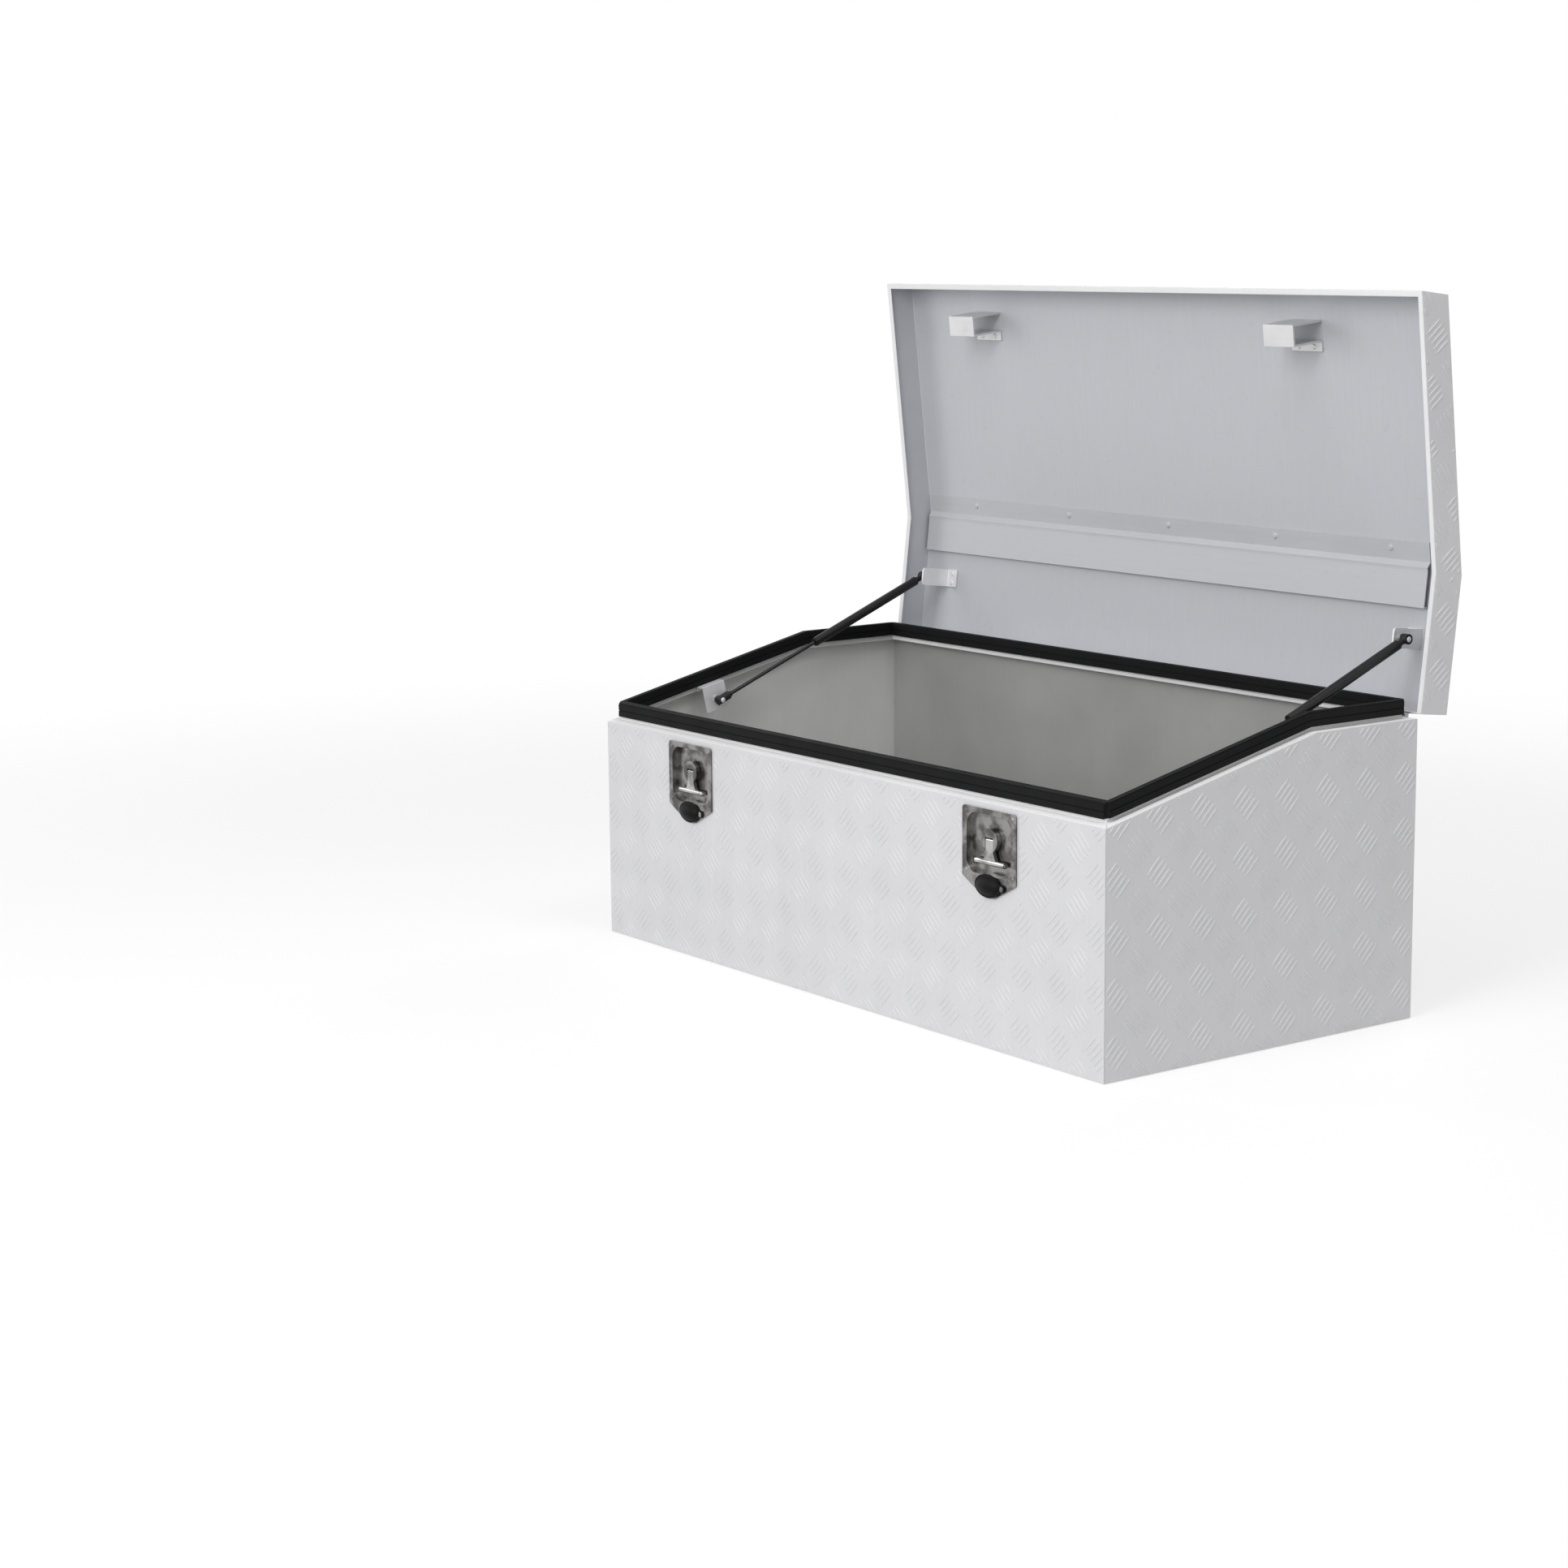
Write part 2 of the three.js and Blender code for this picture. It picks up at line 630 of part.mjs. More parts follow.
for (const [hand, x] of Object.entries(latchXs)) {
  const pieces = [
    ["gasket", buildGasket(), finishes.rubber],
    ["plate", buildPlate(), finishes.stainless],
    ["bearing", buildBearing(), finishes.zinc],
    ["spindle", buildSpindle(), finishes.stainless],
    ["handle_pin", buildHandlePin(), finishes.stainless],
    ["t_handle", buildHandle(), finishes.stainless],
    ["hook", buildHook(), finishes.zinc],
    ["hook_nut", buildHookNut(), finishes.zinc],
    ["key_barrel", buildBarrel(), finishes.brass],
    ["key_cap", buildCap(), finishes.rubber],
  ];
  for (const [name, solid, finish] of pieces) {
    addPiece(part, `${hand}_latch_${name}`, solid.translate([x, 0, 0]), finish);
  }
}

// Piano hinge: the leaves share one line of knuckles, turn about

const knucklePitch = hingeLength / knuckleCount;

function hingeLeaf(parity, upward) {
  const leafFace = rear + seat;
  const [near, far] = [hingeZ, hingeZ + upward * leafHeight];
  const [low, high] = [Math.min(near, far), Math.max(near, far)];
  const leaf = alongX(rectangle(leafFace, low, leafFace + leafThickness, high), -hingeLength / 2, hingeLength / 2);
  const knuckles = [];
  const notches = [];
  for (let index = 0; index < knuckleCount; index += 1) {
    const from = -hingeLength / 2 + index * knucklePitch;
    const to = from + knucklePitch;
    if (index % 2 === parity) {
      const ends = [from + knuckleGap / 2, to - knuckleGap / 2].map((x) => [x, hingeY, hingeZ]);
      knuckles.push(bar(...ends, knuckleRadius, 12));
    } else {
      notches.push(alongX(rectangle(leafFace - 1, hingeZ - knuckleRadius - knuckleGap, leafFace + leafThickness + 1,
        hingeZ + knuckleRadius + knuckleGap), from - knuckleGap / 2, to + knuckleGap / 2));
    }
  }
  const bore = bar([-hingeLength, hingeY, hingeZ], [hingeLength, hingeY, hingeZ], hingePinRadius + seat, 8);
  const rivets = Array.from({ length: hingeRivetCount }, (_, index) => {
    const x = ((index - (hingeRivetCount - 1) / 2) / hingeRivetCount) * hingeLength;
    return rivet([x, leafFace + leafThickness, hingeZ + upward * leafHeight * hingeRivetLine], axisY,
      hingeRivetRadius, hingeRivetHead);
  });
  return join([leaf, ...knuckles]).subtract(join(notches)).subtract(bore).add(join(rivets));
}

addPiece(part, "hinge_leaf_body", hingeLeaf(0, -1), finishes.stainless);
addPiece(part, "hinge_pin", bar([-hingeLength / 2, hingeY, hingeZ], [hingeLength / 2, hingeY, hingeZ], hingePinRadius, 8),
  finishes.stainless);
addPiece(lid, "hinge_leaf_lid", hingeLeaf(1, 1), finishes.stainless);

// Lid: a pan folded from one sheet, with its front and end edges turned in as a narrow lip

// Outline of the lid's side between a lift above the rim and its skin, kept inside by insets.
function lidOutline(fromFront, inset, lift) {
  const [from, to] = [front + fromFront, rear - inset];
  return [...profileLine(from, to, lift, 0), ...profileLine(from, to, lidHeight, -inset).reverse()];
}

const panHollow = alongX(lidOutline(sheet, sheet, seamGap + sheet), -side + sheet, side - sheet);
const panMouth = alongX(lidOutline(lidLip, sheet, seamGap - 1), -side + lidLip, side - lidLip);
addPiece(lid, "lid_pan", alongX(lidOutline(0, 0, seamGap), -side, side).subtract(panHollow).subtract(panMouth),
  finishes.treadPlate);

// Brace: flat on the slope's skin, then proud of the fold and the level skin, with its edge turned back
function braceOutline() {
  const step = braceRise;
  const [slantEnd, slantStart] = [underSlope(braceSlantReach, seat), underSlope(step * 2, seat)];
  const raised = underSlope(step, step);
  const level = [skinFold[0] + braceFlatReach, skinFold[1] - step];
  const turnedBack = [level[0], skinFold[1] - seat];
  const corner = [skinFold[0] + step * Math.tan(slope / 2), skinFold[1] - step];
  return bentSheet([turnedBack, level, corner, raised, slantStart, slantEnd].reverse(), -braceSheet);
}

const underBrace = underSlope(braceSlantReach * braceScrewLine, seat + braceSheet);
const intoLid = new THREE.Vector3(0, Math.sin(slope), -Math.cos(slope));
const braceScrews = Array.from({ length: braceScrewCount }, (_, index) =>
  rivet([(index - (braceScrewCount - 1) / 2) * braceScrewPitch, ...underBrace], intoLid, screwHeadRadius, screwHeadHeight));
const brace = alongX(braceOutline(), braceLeftGap - side, side - braceRightGap).add(join(braceScrews));
addPiece(lid, "lid_brace", brace, finishes.plainAluminium);

function buildStriker() {
  const footFace = seat + strikerSheet;
  const line = [[strikerFront, seat], [strikerFront, strikerDrop], [strikerRear, strikerDrop], [strikerRear, footFace],
    [strikerRear - strikerFoot, footFace]].map(([along, down]) => underSlope(along, down));
  const footMiddle = underSlope(strikerRear - strikerFoot / 2, footFace);
  const rivets = [-strikerWidth / 4, strikerWidth / 4].map((x) =>
    rivet([x, ...footMiddle], intoLid, strikerRivetRadius, strikerRivetHead));
  return alongX(bentSheet(line, strikerSheet), -strikerWidth / 2, strikerWidth / 2).add(join(rivets));
}

for (const [hand, x] of Object.entries(latchXs)) {
  addPiece(lid, `${hand}_striker`, buildStriker().translate([x + strikerOffset, 0, 0]), finishes.stainless);
}

// Gas struts, one at each end

const strutPlane = lipBack - strutFromLip;
const bodyBall = [front + bodyBallFromFront, profileAt(front + bodyBallFromFront, 0, 0) - bodyBallDrop];
const lidBall = [hingeY - lidBallReach, hingeZ + lidBallRise];
const openBall = [
  hingeY - lidBallReach * Math.cos(lidOpenAngle) + lidBallRise * Math.sin(lidOpenAngle),
  hingeZ + lidBallReach * Math.sin(lidOpenAngle) + lidBallRise * Math.cos(lidOpenAngle),
];
const strutSpan = Math.hypot(openBall[0] - bodyBall[0], openBall[1] - bodyBall[1]);
const strutAngle = Math.atan2(openBall[1] - bodyBall[1], openBall[0] - bodyBall[0]);

const bodyBracketX = strutPlane + bodyBracketGap;
const lidSocketFace = strutPlane - lidSocketRadius;
const lidBracketX = strutPlane - lidBracketGap;

// Hanger for the lower ball: a leg on the lip's back under the trim, a shelf into the mouth, and a cheek square to
// the slope that carries the stud.
function buildBodyBracket() {
  const [forward, up] = [bodyBall[0] - front, bodyBall[1] - frontHeight];
  const along = forward * Math.cos(slope) + up * Math.sin(slope);
  const low = up * Math.cos(slope) - forward * Math.sin(slope) - bodyBracketBelowBall;
  const shelf = sealBottom - 2 * seat - bracketSheet;
  const [cheek, leg] = [bodyBracketX + bracketSheet, lipBack - bracketSheet];
  const section = bentSheet([[cheek, low], [cheek, shelf], [leg, shelf], [leg, -sheet]], bracketSheet);
  const [alongSlope, offSlope] = [
    new THREE.Vector3(0, Math.cos(slope), Math.sin(slope)),
    new THREE.Vector3(0, -Math.sin(slope), Math.cos(slope)),
  ];
  const rearEnd = new THREE.Vector3(0, front, frontHeight).addScaledVector(alongSlope, along + bodyBracketLength / 2);
  const frame = new THREE.Matrix4().makeBasis(axisX, offSlope, alongSlope.negate()).setPosition(rearEnd);
  return solidOf(extrude(section, bodyBracketLength).applyMatrix4(frame));
}

// Ball stud with a hexagon at its foot, pointing to the middle of the box.
function buildBodyStud() {
  const [y, z] = bodyBall;
  const hex = bar([bodyBracketX - studHexHeight, y, z], [bodyBracketX, y, z], studHexRadius, 6);
  const neck = bar([strutPlane, y, z], [bodyBracketX - 1, y, z], studRadius, 12);
  return join([hex, neck, ball([strutPlane, y, z], ballRadius)]);
}

// Angle bracket inboard of the strut: a foot riveted under the level skin and a cheek that carries the stud.
function buildLidBracket() {
  const [y, z] = lidBall;
  const top = rearHeight + lidHeight - sheet - seat;
  const half = lidBracketWidth / 2;
  const low = z - half + 2;
  const cheek = new THREE.Shape();
  cheek.absarc(y - half + bracketCorner, low + bracketCorner, bracketCorner, Math.PI, Math.PI * 1.5);
  cheek.absarc(y + half - bracketCorner, low + bracketCorner, bracketCorner, -Math.PI / 2, 0);
  cheek.lineTo(y + half, top);
  cheek.lineTo(y - half, top);
  const plate = alongX(cheek, lidBracketX - bracketSheet, lidBracketX);
  const footEnd = lidBracketX - bracketSheet - lidBracketFoot;
  const foot = alongX(rectangle(y - half, top - bracketSheet, y + half, top), footEnd, lidBracketX);
  const rivetX = footEnd + lidBracketFoot / 2;
  const rivets = [-half / 2, half / 2].map((offset) =>
    bar([rivetX, y + offset, top - bracketSheet - bracketRivetHead], [rivetX, y + offset, top - bracketSheet / 2],
      bracketRivetRadius, 10));
  return join([plate, foot, ...rivets]);
}

// The stud's head lies face to face with the tube's end, which lets go of it between the two ends of travel.
function buildLidStud() {
  const [y, z] = lidBall;
  const hex = bar([lidBracketX, y, z], [lidBracketX + studHexHeight, y, z], studHexRadius, 6);
  const head = bar([lidBracketX + studHexHeight - rivetSink, y, z], [lidSocketFace - seat, y, z], ballRadius, 16);
  return hex.add(head);
}

// Strut pieces lie along local Y from the body ball, at X = 0.
const tubeStart = rodExposed;
const tubeEnd = strutSpan - tubeEndLength / 2;

function buildRodSocket() {
  const body = bar([0, -ballSocketRadius, 0], [0, rodSocketLength, 0], ballSocketRadius, 20);
  const neck = bar([0, rodSocketLength - 1, 0], [0, rodSocketLength + 5, 0], ballSocketRadius * 0.65, 20);
  const cup = ball([0, 0, 0], ballRadius + runningGap)
    .add(bar([0, 0, 0], [ballSocketRadius + 1, 0, 0], ballRadius + runningGap, 16));
  const threadHole = bar([0, rodSocketLength - 8, 0], [0, rodSocketLength + 6, 0], rodRadius + seat, 16);
  return body.add(neck).subtract(cup).subtract(threadHole);
}

function buildRod() {
  const end = tubeStart + rodInsideTube;
  const rod = bar([0, rodSocketLength - 7, 0], [0, end, 0], rodRadius);
  return rod.add(bar([0, end - pistonLength, 0], [0, end, 0], tubeRadius - tubeWall - runningGap, 20));
}

function buildTube() {
  const shell = bar([0, tubeStart, 0], [0, tubeEnd - tubeEndLength, 0], tubeRadius, 20);
  const hollow = bar([0, tubeStart - 1, 0], [0, tubeEnd - tubeEndLength - 2 * tubeWall, 0], tubeRadius - tubeWall, 20);
  return shell.subtract(hollow);
}

function buildGland() {
  const plug = bar([0, tubeStart - glandCollar, 0], [0, tubeStart + glandLength, 0], tubeRadius - tubeWall - seat, 20);
  const collar = bar([0, tubeStart - glandCollar - seat, 0], [0, tubeStart - seat, 0], tubeRadius - seat, 20);
  return plug.add(collar)
    .subtract(bar([0, tubeStart - glandCollar - 1, 0], [0, tubeStart + glandLength + 1, 0], rodRadius + seat));
}

function buildTubeSocket() {
  const from = tubeEnd - tubeEndLength + seat;
  const neck = bar([0, from, 0], [0, strutSpan - 2, 0], lidSocketRadius * 0.75, 16);
  const eye = bar([-lidSocketRadius, strutSpan, 0], [lidSocketRadius, strutSpan, 0], ballRadius + 2.5, 20);
  return neck.add(eye);
}

const mirrorX = (solid, hand) => (hand === "left" ? solid.mirror([1, 0, 0]) : solid);

for (const hand of ["left", "right"]) {
  addPiece(part, `${hand}_strut_bracket_body`, mirrorX(buildBodyBracket(), hand), finishes.zinc);
  addPiece(part, `${hand}_ball_stud_body`, mirrorX(buildBodyStud(), hand), finishes.zinc);
  addPiece(lid, `${hand}_strut_bracket_lid`, mirrorX(buildLidBracket(), hand), finishes.zinc);
  addPiece(lid, `${hand}_ball_stud_lid`, mirrorX(buildLidStud(), hand), finishes.zinc);

  const strut = new THREE.Group();
  strut.position.set(hand === "left" ? -strutPlane : strutPlane, ...bodyBall);
  strut.rotation.x = strutAngle;
  part.add(strut);
  addPiece(strut, `${hand}_strut_rod_socket`, mirrorX(buildRodSocket(), hand), finishes.blackPlastic);
  addPiece(strut, `${hand}_strut_rod`, buildRod(), finishes.rodBlack);
  addPiece(strut, `${hand}_strut_tube`, buildTube(), finishes.strutPaint);
  addPiece(strut, `${hand}_strut_gland`, buildGland(), finishes.blackPlastic);
  addPiece(strut, `${hand}_strut_tube_socket`, buildTubeSocket(), finishes.blackPlastic);
}

export default part;
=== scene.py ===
"""Looks of a truck tool box of aluminium tread plate, shown with its lid open.

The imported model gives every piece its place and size. This script finishes the surfaces, lays the raised
tread bars, gives the sheet and the fittings their soft edges, sets a spring clip on each ball socket, and
sets the stage, the light and the camera.
"""

from __future__ import annotations

import json
import logging
import math
from dataclasses import dataclass, field
from enum import Enum
from typing import Callable, ClassVar, Iterable, Sequence

import bmesh
import bpy
import numpy as np
from mathutils import Matrix, Vector

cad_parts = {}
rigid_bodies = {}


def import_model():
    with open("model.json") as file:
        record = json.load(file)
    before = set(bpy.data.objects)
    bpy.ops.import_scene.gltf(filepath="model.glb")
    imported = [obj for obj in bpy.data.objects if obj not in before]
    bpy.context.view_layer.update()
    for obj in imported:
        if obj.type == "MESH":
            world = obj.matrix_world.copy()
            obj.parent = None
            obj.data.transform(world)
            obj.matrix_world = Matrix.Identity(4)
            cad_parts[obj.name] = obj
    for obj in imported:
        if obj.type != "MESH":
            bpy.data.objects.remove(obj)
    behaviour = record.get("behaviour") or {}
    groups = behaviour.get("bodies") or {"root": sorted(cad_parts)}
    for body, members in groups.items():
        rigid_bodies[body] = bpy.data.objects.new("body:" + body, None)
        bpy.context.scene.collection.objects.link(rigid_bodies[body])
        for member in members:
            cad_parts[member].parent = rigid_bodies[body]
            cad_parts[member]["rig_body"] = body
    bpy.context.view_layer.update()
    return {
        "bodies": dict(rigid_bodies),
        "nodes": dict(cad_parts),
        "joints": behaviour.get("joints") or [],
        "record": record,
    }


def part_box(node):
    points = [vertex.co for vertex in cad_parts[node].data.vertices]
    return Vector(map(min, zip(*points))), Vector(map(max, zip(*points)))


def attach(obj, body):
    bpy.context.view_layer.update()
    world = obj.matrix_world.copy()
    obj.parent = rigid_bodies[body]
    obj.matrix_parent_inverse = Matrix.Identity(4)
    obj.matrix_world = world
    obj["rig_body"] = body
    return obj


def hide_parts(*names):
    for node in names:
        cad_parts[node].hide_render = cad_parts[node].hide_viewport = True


LOG = logging.getLogger("tool_box")
MM = 0.001
HANDS = ("left", "right")
WELD = 0.004 * MM
REGION_PROBE = 3 * MM
RELIEF_DEPTH = 0.2 * MM
PARALLEL = 1e-12
AXES = (Vector((1, 0, 0)), Vector((0, 1, 0)), Vector((0, 0, 1)))

Colour = tuple[float, float, float, float]
Socket = bpy.types.NodeSocket
Sockets = bpy.types.bpy_prop_collection
Spot = tuple[float, float, float, float]
Outline = tuple[tuple[float, float], ...]


class Slot(Enum):
    """Material slots of the record."""

    TREAD_PLATE = "tread_plate"
    PLAIN_ALUMINIUM = "plain_aluminium"
    SEAL_RUBBER = "seal_rubber"
    CAP_RUBBER = "cap_rubber"
    LATCH_STEEL = "latch_steel"
    HINGE_STEEL = "hinge_steel"
    ZINC_STEEL = "zinc_steel"
    ROD_BLACK = "rod_black"
    STRUT_BLACK = "strut_black"
    BLACK_PLASTIC = "black_plastic"
    KEY_BRASS = "key_brass"


class Body(Enum):
    """Moving bodies that new pieces ride on."""

    ROOT = "root"
    LID = "lid"


def linear(red: int, green: int, blue: int) -> Colour:
    """A screen colour as a shader colour.

    Args:
        red: Red, 0 to 255.
        green: Green, 0 to 255.
        blue: Blue, 0 to 255.

    Returns:
        The linear colour with full alpha.
    """

    def channel(value: int) -> float:
        """One channel of it."""
        share = value / 255
        return share / 12.92 if share <= 0.04045 else ((share + 0.055) / 1.055) ** 2.4

    return (channel(red), channel(green), channel(blue), 1.0)


# Shader node groups


class NodeTree:
    """A node tree under construction, with short calls to add and wire nodes."""

    def __init__(self, tree: bpy.types.NodeTree) -> None:
        """Keeps the tree."""
        self.tree = tree

    def node(self, kind: str, feeds: dict[str | int, object] | None = None,
             **settings: object) -> bpy.types.Node:
        """Adds a node.

        Args:
            kind: The node's type name.
            feeds: What feed gives to an input, by the input's name or number.
            settings: Values for the node's own properties.

        Returns:
            The new node.
        """
        made = self.tree.nodes.new(kind)
        for name, value in settings.items():
            setattr(made, name, value)
        for name, source in (feeds or {}).items():
            self.feed(made.inputs[name], source)
        return made

    def feed(self, socket: Socket, source: object) -> None:
        """Fills an input.

        Args:
            socket: The input.
            source: A value, a socket to link from, or a node to link from its first output.
        """
        if isinstance(source, bpy.types.Node):
            source = source.outputs[0]
        if isinstance(source, Socket):
            self.tree.links.new(source, socket)
        else:
            socket.default_value = source

    def math(self, operation: str, *values: object, clamp: bool = False) -> Socket:
        """Adds a Math node fed with the values and returns its result."""
        made = self.node("ShaderNodeMath", dict(enumerate(values)), operation=operation, use_clamp=clamp)
        return made.outputs[0]

    def noise(self, place: object, scale: object, detail: float = 2.0, roughness: float = 0.5) -> Socket:
        """Adds a noise texture, read at a place, and returns its value."""
        feeds = {"Vector": place, "Scale": scale, "Detail": detail, "Roughness": roughness}
        return self.node("ShaderNodeTexNoise", feeds).outputs["Fac"]

    def effect(self, kind: type[ShaderEffect], **values: object) -> Socket:
        """Places a shared effect with values or sockets for its inputs, and returns its first output."""
        return self.node("ShaderNodeGroup", values, node_tree=kind.group()).outputs[0]


class ShaderEffect:
    """A shader node group for one effect that several finishes share, read at its Vector input."""

    name = ""
    inputs: dict[str, object] = {}
    output = ""

    @classmethod
    def group(cls) -> bpy.types.NodeTree:
        """Finds the effect's node group, or builds it.

        Returns:
            The group.
        """
        found = bpy.data.node_groups.get(cls.name)
        if found is not None:
            return found
        tree = bpy.data.node_groups.new(cls.name, "ShaderNodeTree")
        for label, value in {"Vector": (0.0, 0.0, 0.0), **cls.inputs}.items():
            kind = "NodeSocketVector" if isinstance(value, tuple) else "NodeSocketFloat"
            socket = tree.interface.new_socket(label, in_out="INPUT", socket_type=kind)
            socket.default_value = value
        tree.interface.new_socket(cls.output, in_out="OUTPUT", socket_type="NodeSocketFloat")
        nodes = NodeTree(tree)
        value = cls.wire(nodes, nodes.node("NodeGroupInput").outputs)
        nodes.node("NodeGroupOutput", {cls.output: value})
        return tree

    @classmethod
    def wire(cls, nodes: NodeTree, given: Sockets) -> Socket:
        """Fills the group.

        Args:
            nodes: The group's tree.
            given: Sockets of the group's inputs.

        Returns:
            The value that the group puts out.
        """
        raise NotImplementedError


class RollingGrain(ShaderEffect):
    """Fine lines that rolling or brushing leaves in metal, long one way and close together the other."""

    name = "Rolling_Grain"
    inputs = {"Stretch": (40.0, 40.0, 1.0), "Scale": 30.0}
    output = "Lines"
    detail = 3.0
    roughness = 0.6

    @classmethod
    def wire(cls, nodes: NodeTree, given: Sockets) -> Socket:
        """Stretched noise."""
        stretched = nodes.node("ShaderNodeVectorMath", {0: given["Vector"], 1: given["Stretch"]},
                               operation="MULTIPLY")
        return nodes.noise(stretched, given["Scale"], cls.detail, cls.roughness)


class CloudyFilm(ShaderEffect):
    """Soft clouds of handling and oxide that lie on bare metal, as a mask round zero."""

    name = "Cloudy_Film"
    inputs = {"Scale": 6.0}
    output = "Mask"
    detail = 4.0

    @classmethod
    def wire(cls, nodes: NodeTree, given: Sockets) -> Socket:
        """Noise round zero."""
        clouds = nodes.noise(given["Vector"], given["Scale"], cls.detail)
        return nodes.math("SUBTRACT", clouds, 0.5)


class FineScratches(ShaderEffect):
    """Sparse short scratches, as a mask from zero to one."""

    name = "Fine_Scratches"
    inputs = {"Scale": 60.0}
    output = "Mask"
    turn = (0.6, 0.4, 0.9)
    squeeze = (1.0, 14.0, 1.0)
    detail = 1.0
    threshold = 0.66
    contrast = 9.0

    @classmethod
    def wire(cls, nodes: NodeTree, given: Sockets) -> Socket:
        """Turned and squeezed noise, of which only the peaks stay.

        Args:
            nodes: The group's tree.
            given: Sockets of the group's inputs.

        Returns:
            The mask.
        """
        turned = nodes.node("ShaderNodeMapping",
                            {"Vector": given["Vector"], "Rotation": cls.turn, "Scale": cls.squeeze})
        above = nodes.math("SUBTRACT", nodes.noise(turned, given["Scale"], cls.detail), cls.threshold)
        return nodes.math("MULTIPLY", above, cls.contrast, clamp=True)


class ReflectionAndTarnish(ShaderEffect):
    """Dark patches on polished metal, as a factor on its colour: partly a painted reflection of the room,
    partly tarnish.
    """

    name = "Painted_Reflection_And_Tarnish"
    inputs = {"Scale": 45.0, "Darkest": 0.3}
    output = "Shade"
    detail = 3.0
    full_below = 0.38
    none_above = 0.62

    @classmethod
    def wire(cls, nodes: NodeTree, given: Sockets) -> Socket:
        """Soft noise, spread to a factor from Darkest to one.

        Args:
            nodes: The group's tree.
            given: Sockets of the group's inputs.

        Returns:
            The factor.
        """
        film = nodes.noise(given["Vector"], given["Scale"], cls.detail)
        patches = nodes.node("ShaderNodeMapRange",
                             {"Value": film, "From Min": cls.full_below, "From Max": cls.none_above,
                              "To Min": given["Darkest"], "To Max": 1.0}, interpolation_type="SMOOTHSTEP")
        return patches.outputs["Result"]


# Finishes


class SurfaceTree(NodeTree):
    """The node tree of a new material, with its shader's inputs and the place on the piece."""

    def __init__(self, material: bpy.types.Material) -> None:
        """Keeps the tree, the shader's inputs and Object coordinates.

        Args:
            material: The new material.
        """
        material.use_nodes = True
        super().__init__(material.node_tree)
        self.shader = self.tree.nodes["Principled BSDF"].inputs
        self.place = self.node("ShaderNodeTexCoord").outputs["Object"]

    def tint(self, colour: Colour, shade: Socket) -> None:
        """Gives the shader a colour times a shade."""
        mix = self.node("ShaderNodeMix", {"Factor": 1.0, "A": colour, "B": shade},
                        data_type="RGBA", blend_type="MULTIPLY")
        self.feed(self.shader["Base Color"], mix.outputs["Result"])

    def emboss(self, height: Socket, strength: float) -> None:
        """Gives the shader a shallow relief."""
        relief = self.node("ShaderNodeBump",
                           {"Strength": strength, "Distance": RELIEF_DEPTH, "Height": height})
        self.feed(self.shader["Normal"], relief)


@dataclass(frozen=True)
class Finish:
    """A surface with a colour, a roughness and a slot of the record."""

    label: str
    slot: Slot
    colour: Colour
    roughness: float

    def build(self) -> bpy.types.Material:
        """Makes the material, or finds it.

        Returns:
            The material named after the finish.
        """
        material = bpy.data.materials.get(self.label)
        if material is None:
            material = bpy.data.materials.new(self.label)
            material.diffuse_color = self.colour
            self.wire(SurfaceTree(material))
        return material

    def wire(self, tree: SurfaceTree) -> None:
        """Makes the surface as uneven as the real one.

        Args:
            tree: The new material's tree.
        """
        raise NotImplementedError


@dataclass(frozen=True)
class MetalFinish(Finish):
    """A bare or plated metal with grain, clouds and a few scratches.

    Grain runs along the axis whose stretch is smallest. Patches of painted reflection and tarnish come in
    where reflection_tarnish_darkest is under one.
    """

    metallic: float
    grain_stretch: tuple[float, float, float] = (40.0, 40.0, 1.5)
    grain_scale: float = 9.0
    grain_shade: float = 0.05
    grain_roughness: float = 0.12
    grain_relief: float = 0.12
    cloud_scale: float = 7.0
    cloud_shade: float = 0.12
    cloud_roughness: float = 0.25
    scratch_shade: float = 0.04
    scratch_polish: float = 0.05
    scratch_relief: float = 0.4
    reflection_tarnish_darkest: float = 1.0
    specular: float = 0.5

    def wire(self, tree: SurfaceTree) -> None:
        """Lays grain, clouds, scratches, and patches of painted reflection and tarnish on the metal.

        Args:
            tree: The new material's tree.
        """
        place = tree.place
        grain = tree.effect(RollingGrain, Vector=place, Stretch=self.grain_stretch, Scale=self.grain_scale)
        film = tree.effect(CloudyFilm, Vector=place, Scale=self.cloud_scale)
        marks = tree.effect(FineScratches, Vector=place)
        centred = tree.math("SUBTRACT", grain, 0.5)
        shade = tree.math("MULTIPLY_ADD", centred, 2 * self.grain_shade, 1.0)
        shade = tree.math("MULTIPLY_ADD", film, self.cloud_shade, shade)
        shade = tree.math("MULTIPLY_ADD", marks, -self.scratch_shade, shade)
        # Painted reflection of the room, with tarnish, as dark patches by place on the piece.
        if self.reflection_tarnish_darkest < 1:
            reflection_tarnish = tree.effect(ReflectionAndTarnish, Vector=place, Darkest=self.reflection_tarnish_darkest)
            shade = tree.math("MULTIPLY", shade, reflection_tarnish)
        tree.tint(self.colour, shade)
        rough = tree.math("MULTIPLY_ADD", film, self.cloud_roughness, self.roughness)
        rough = tree.math("MULTIPLY_ADD", centred, self.grain_roughness, rough)
        rough = tree.math("MULTIPLY_ADD", marks, -self.scratch_polish, rough, clamp=True)
        tree.feed(tree.shader["Roughness"], rough)
        tree.emboss(tree.math("MULTIPLY_ADD", marks, -self.scratch_relief, grain), self.grain_relief)
        tree.shader["Metallic"].default_value = self.metallic
        tree.shader["Specular IOR Level"].default_value = self.specular


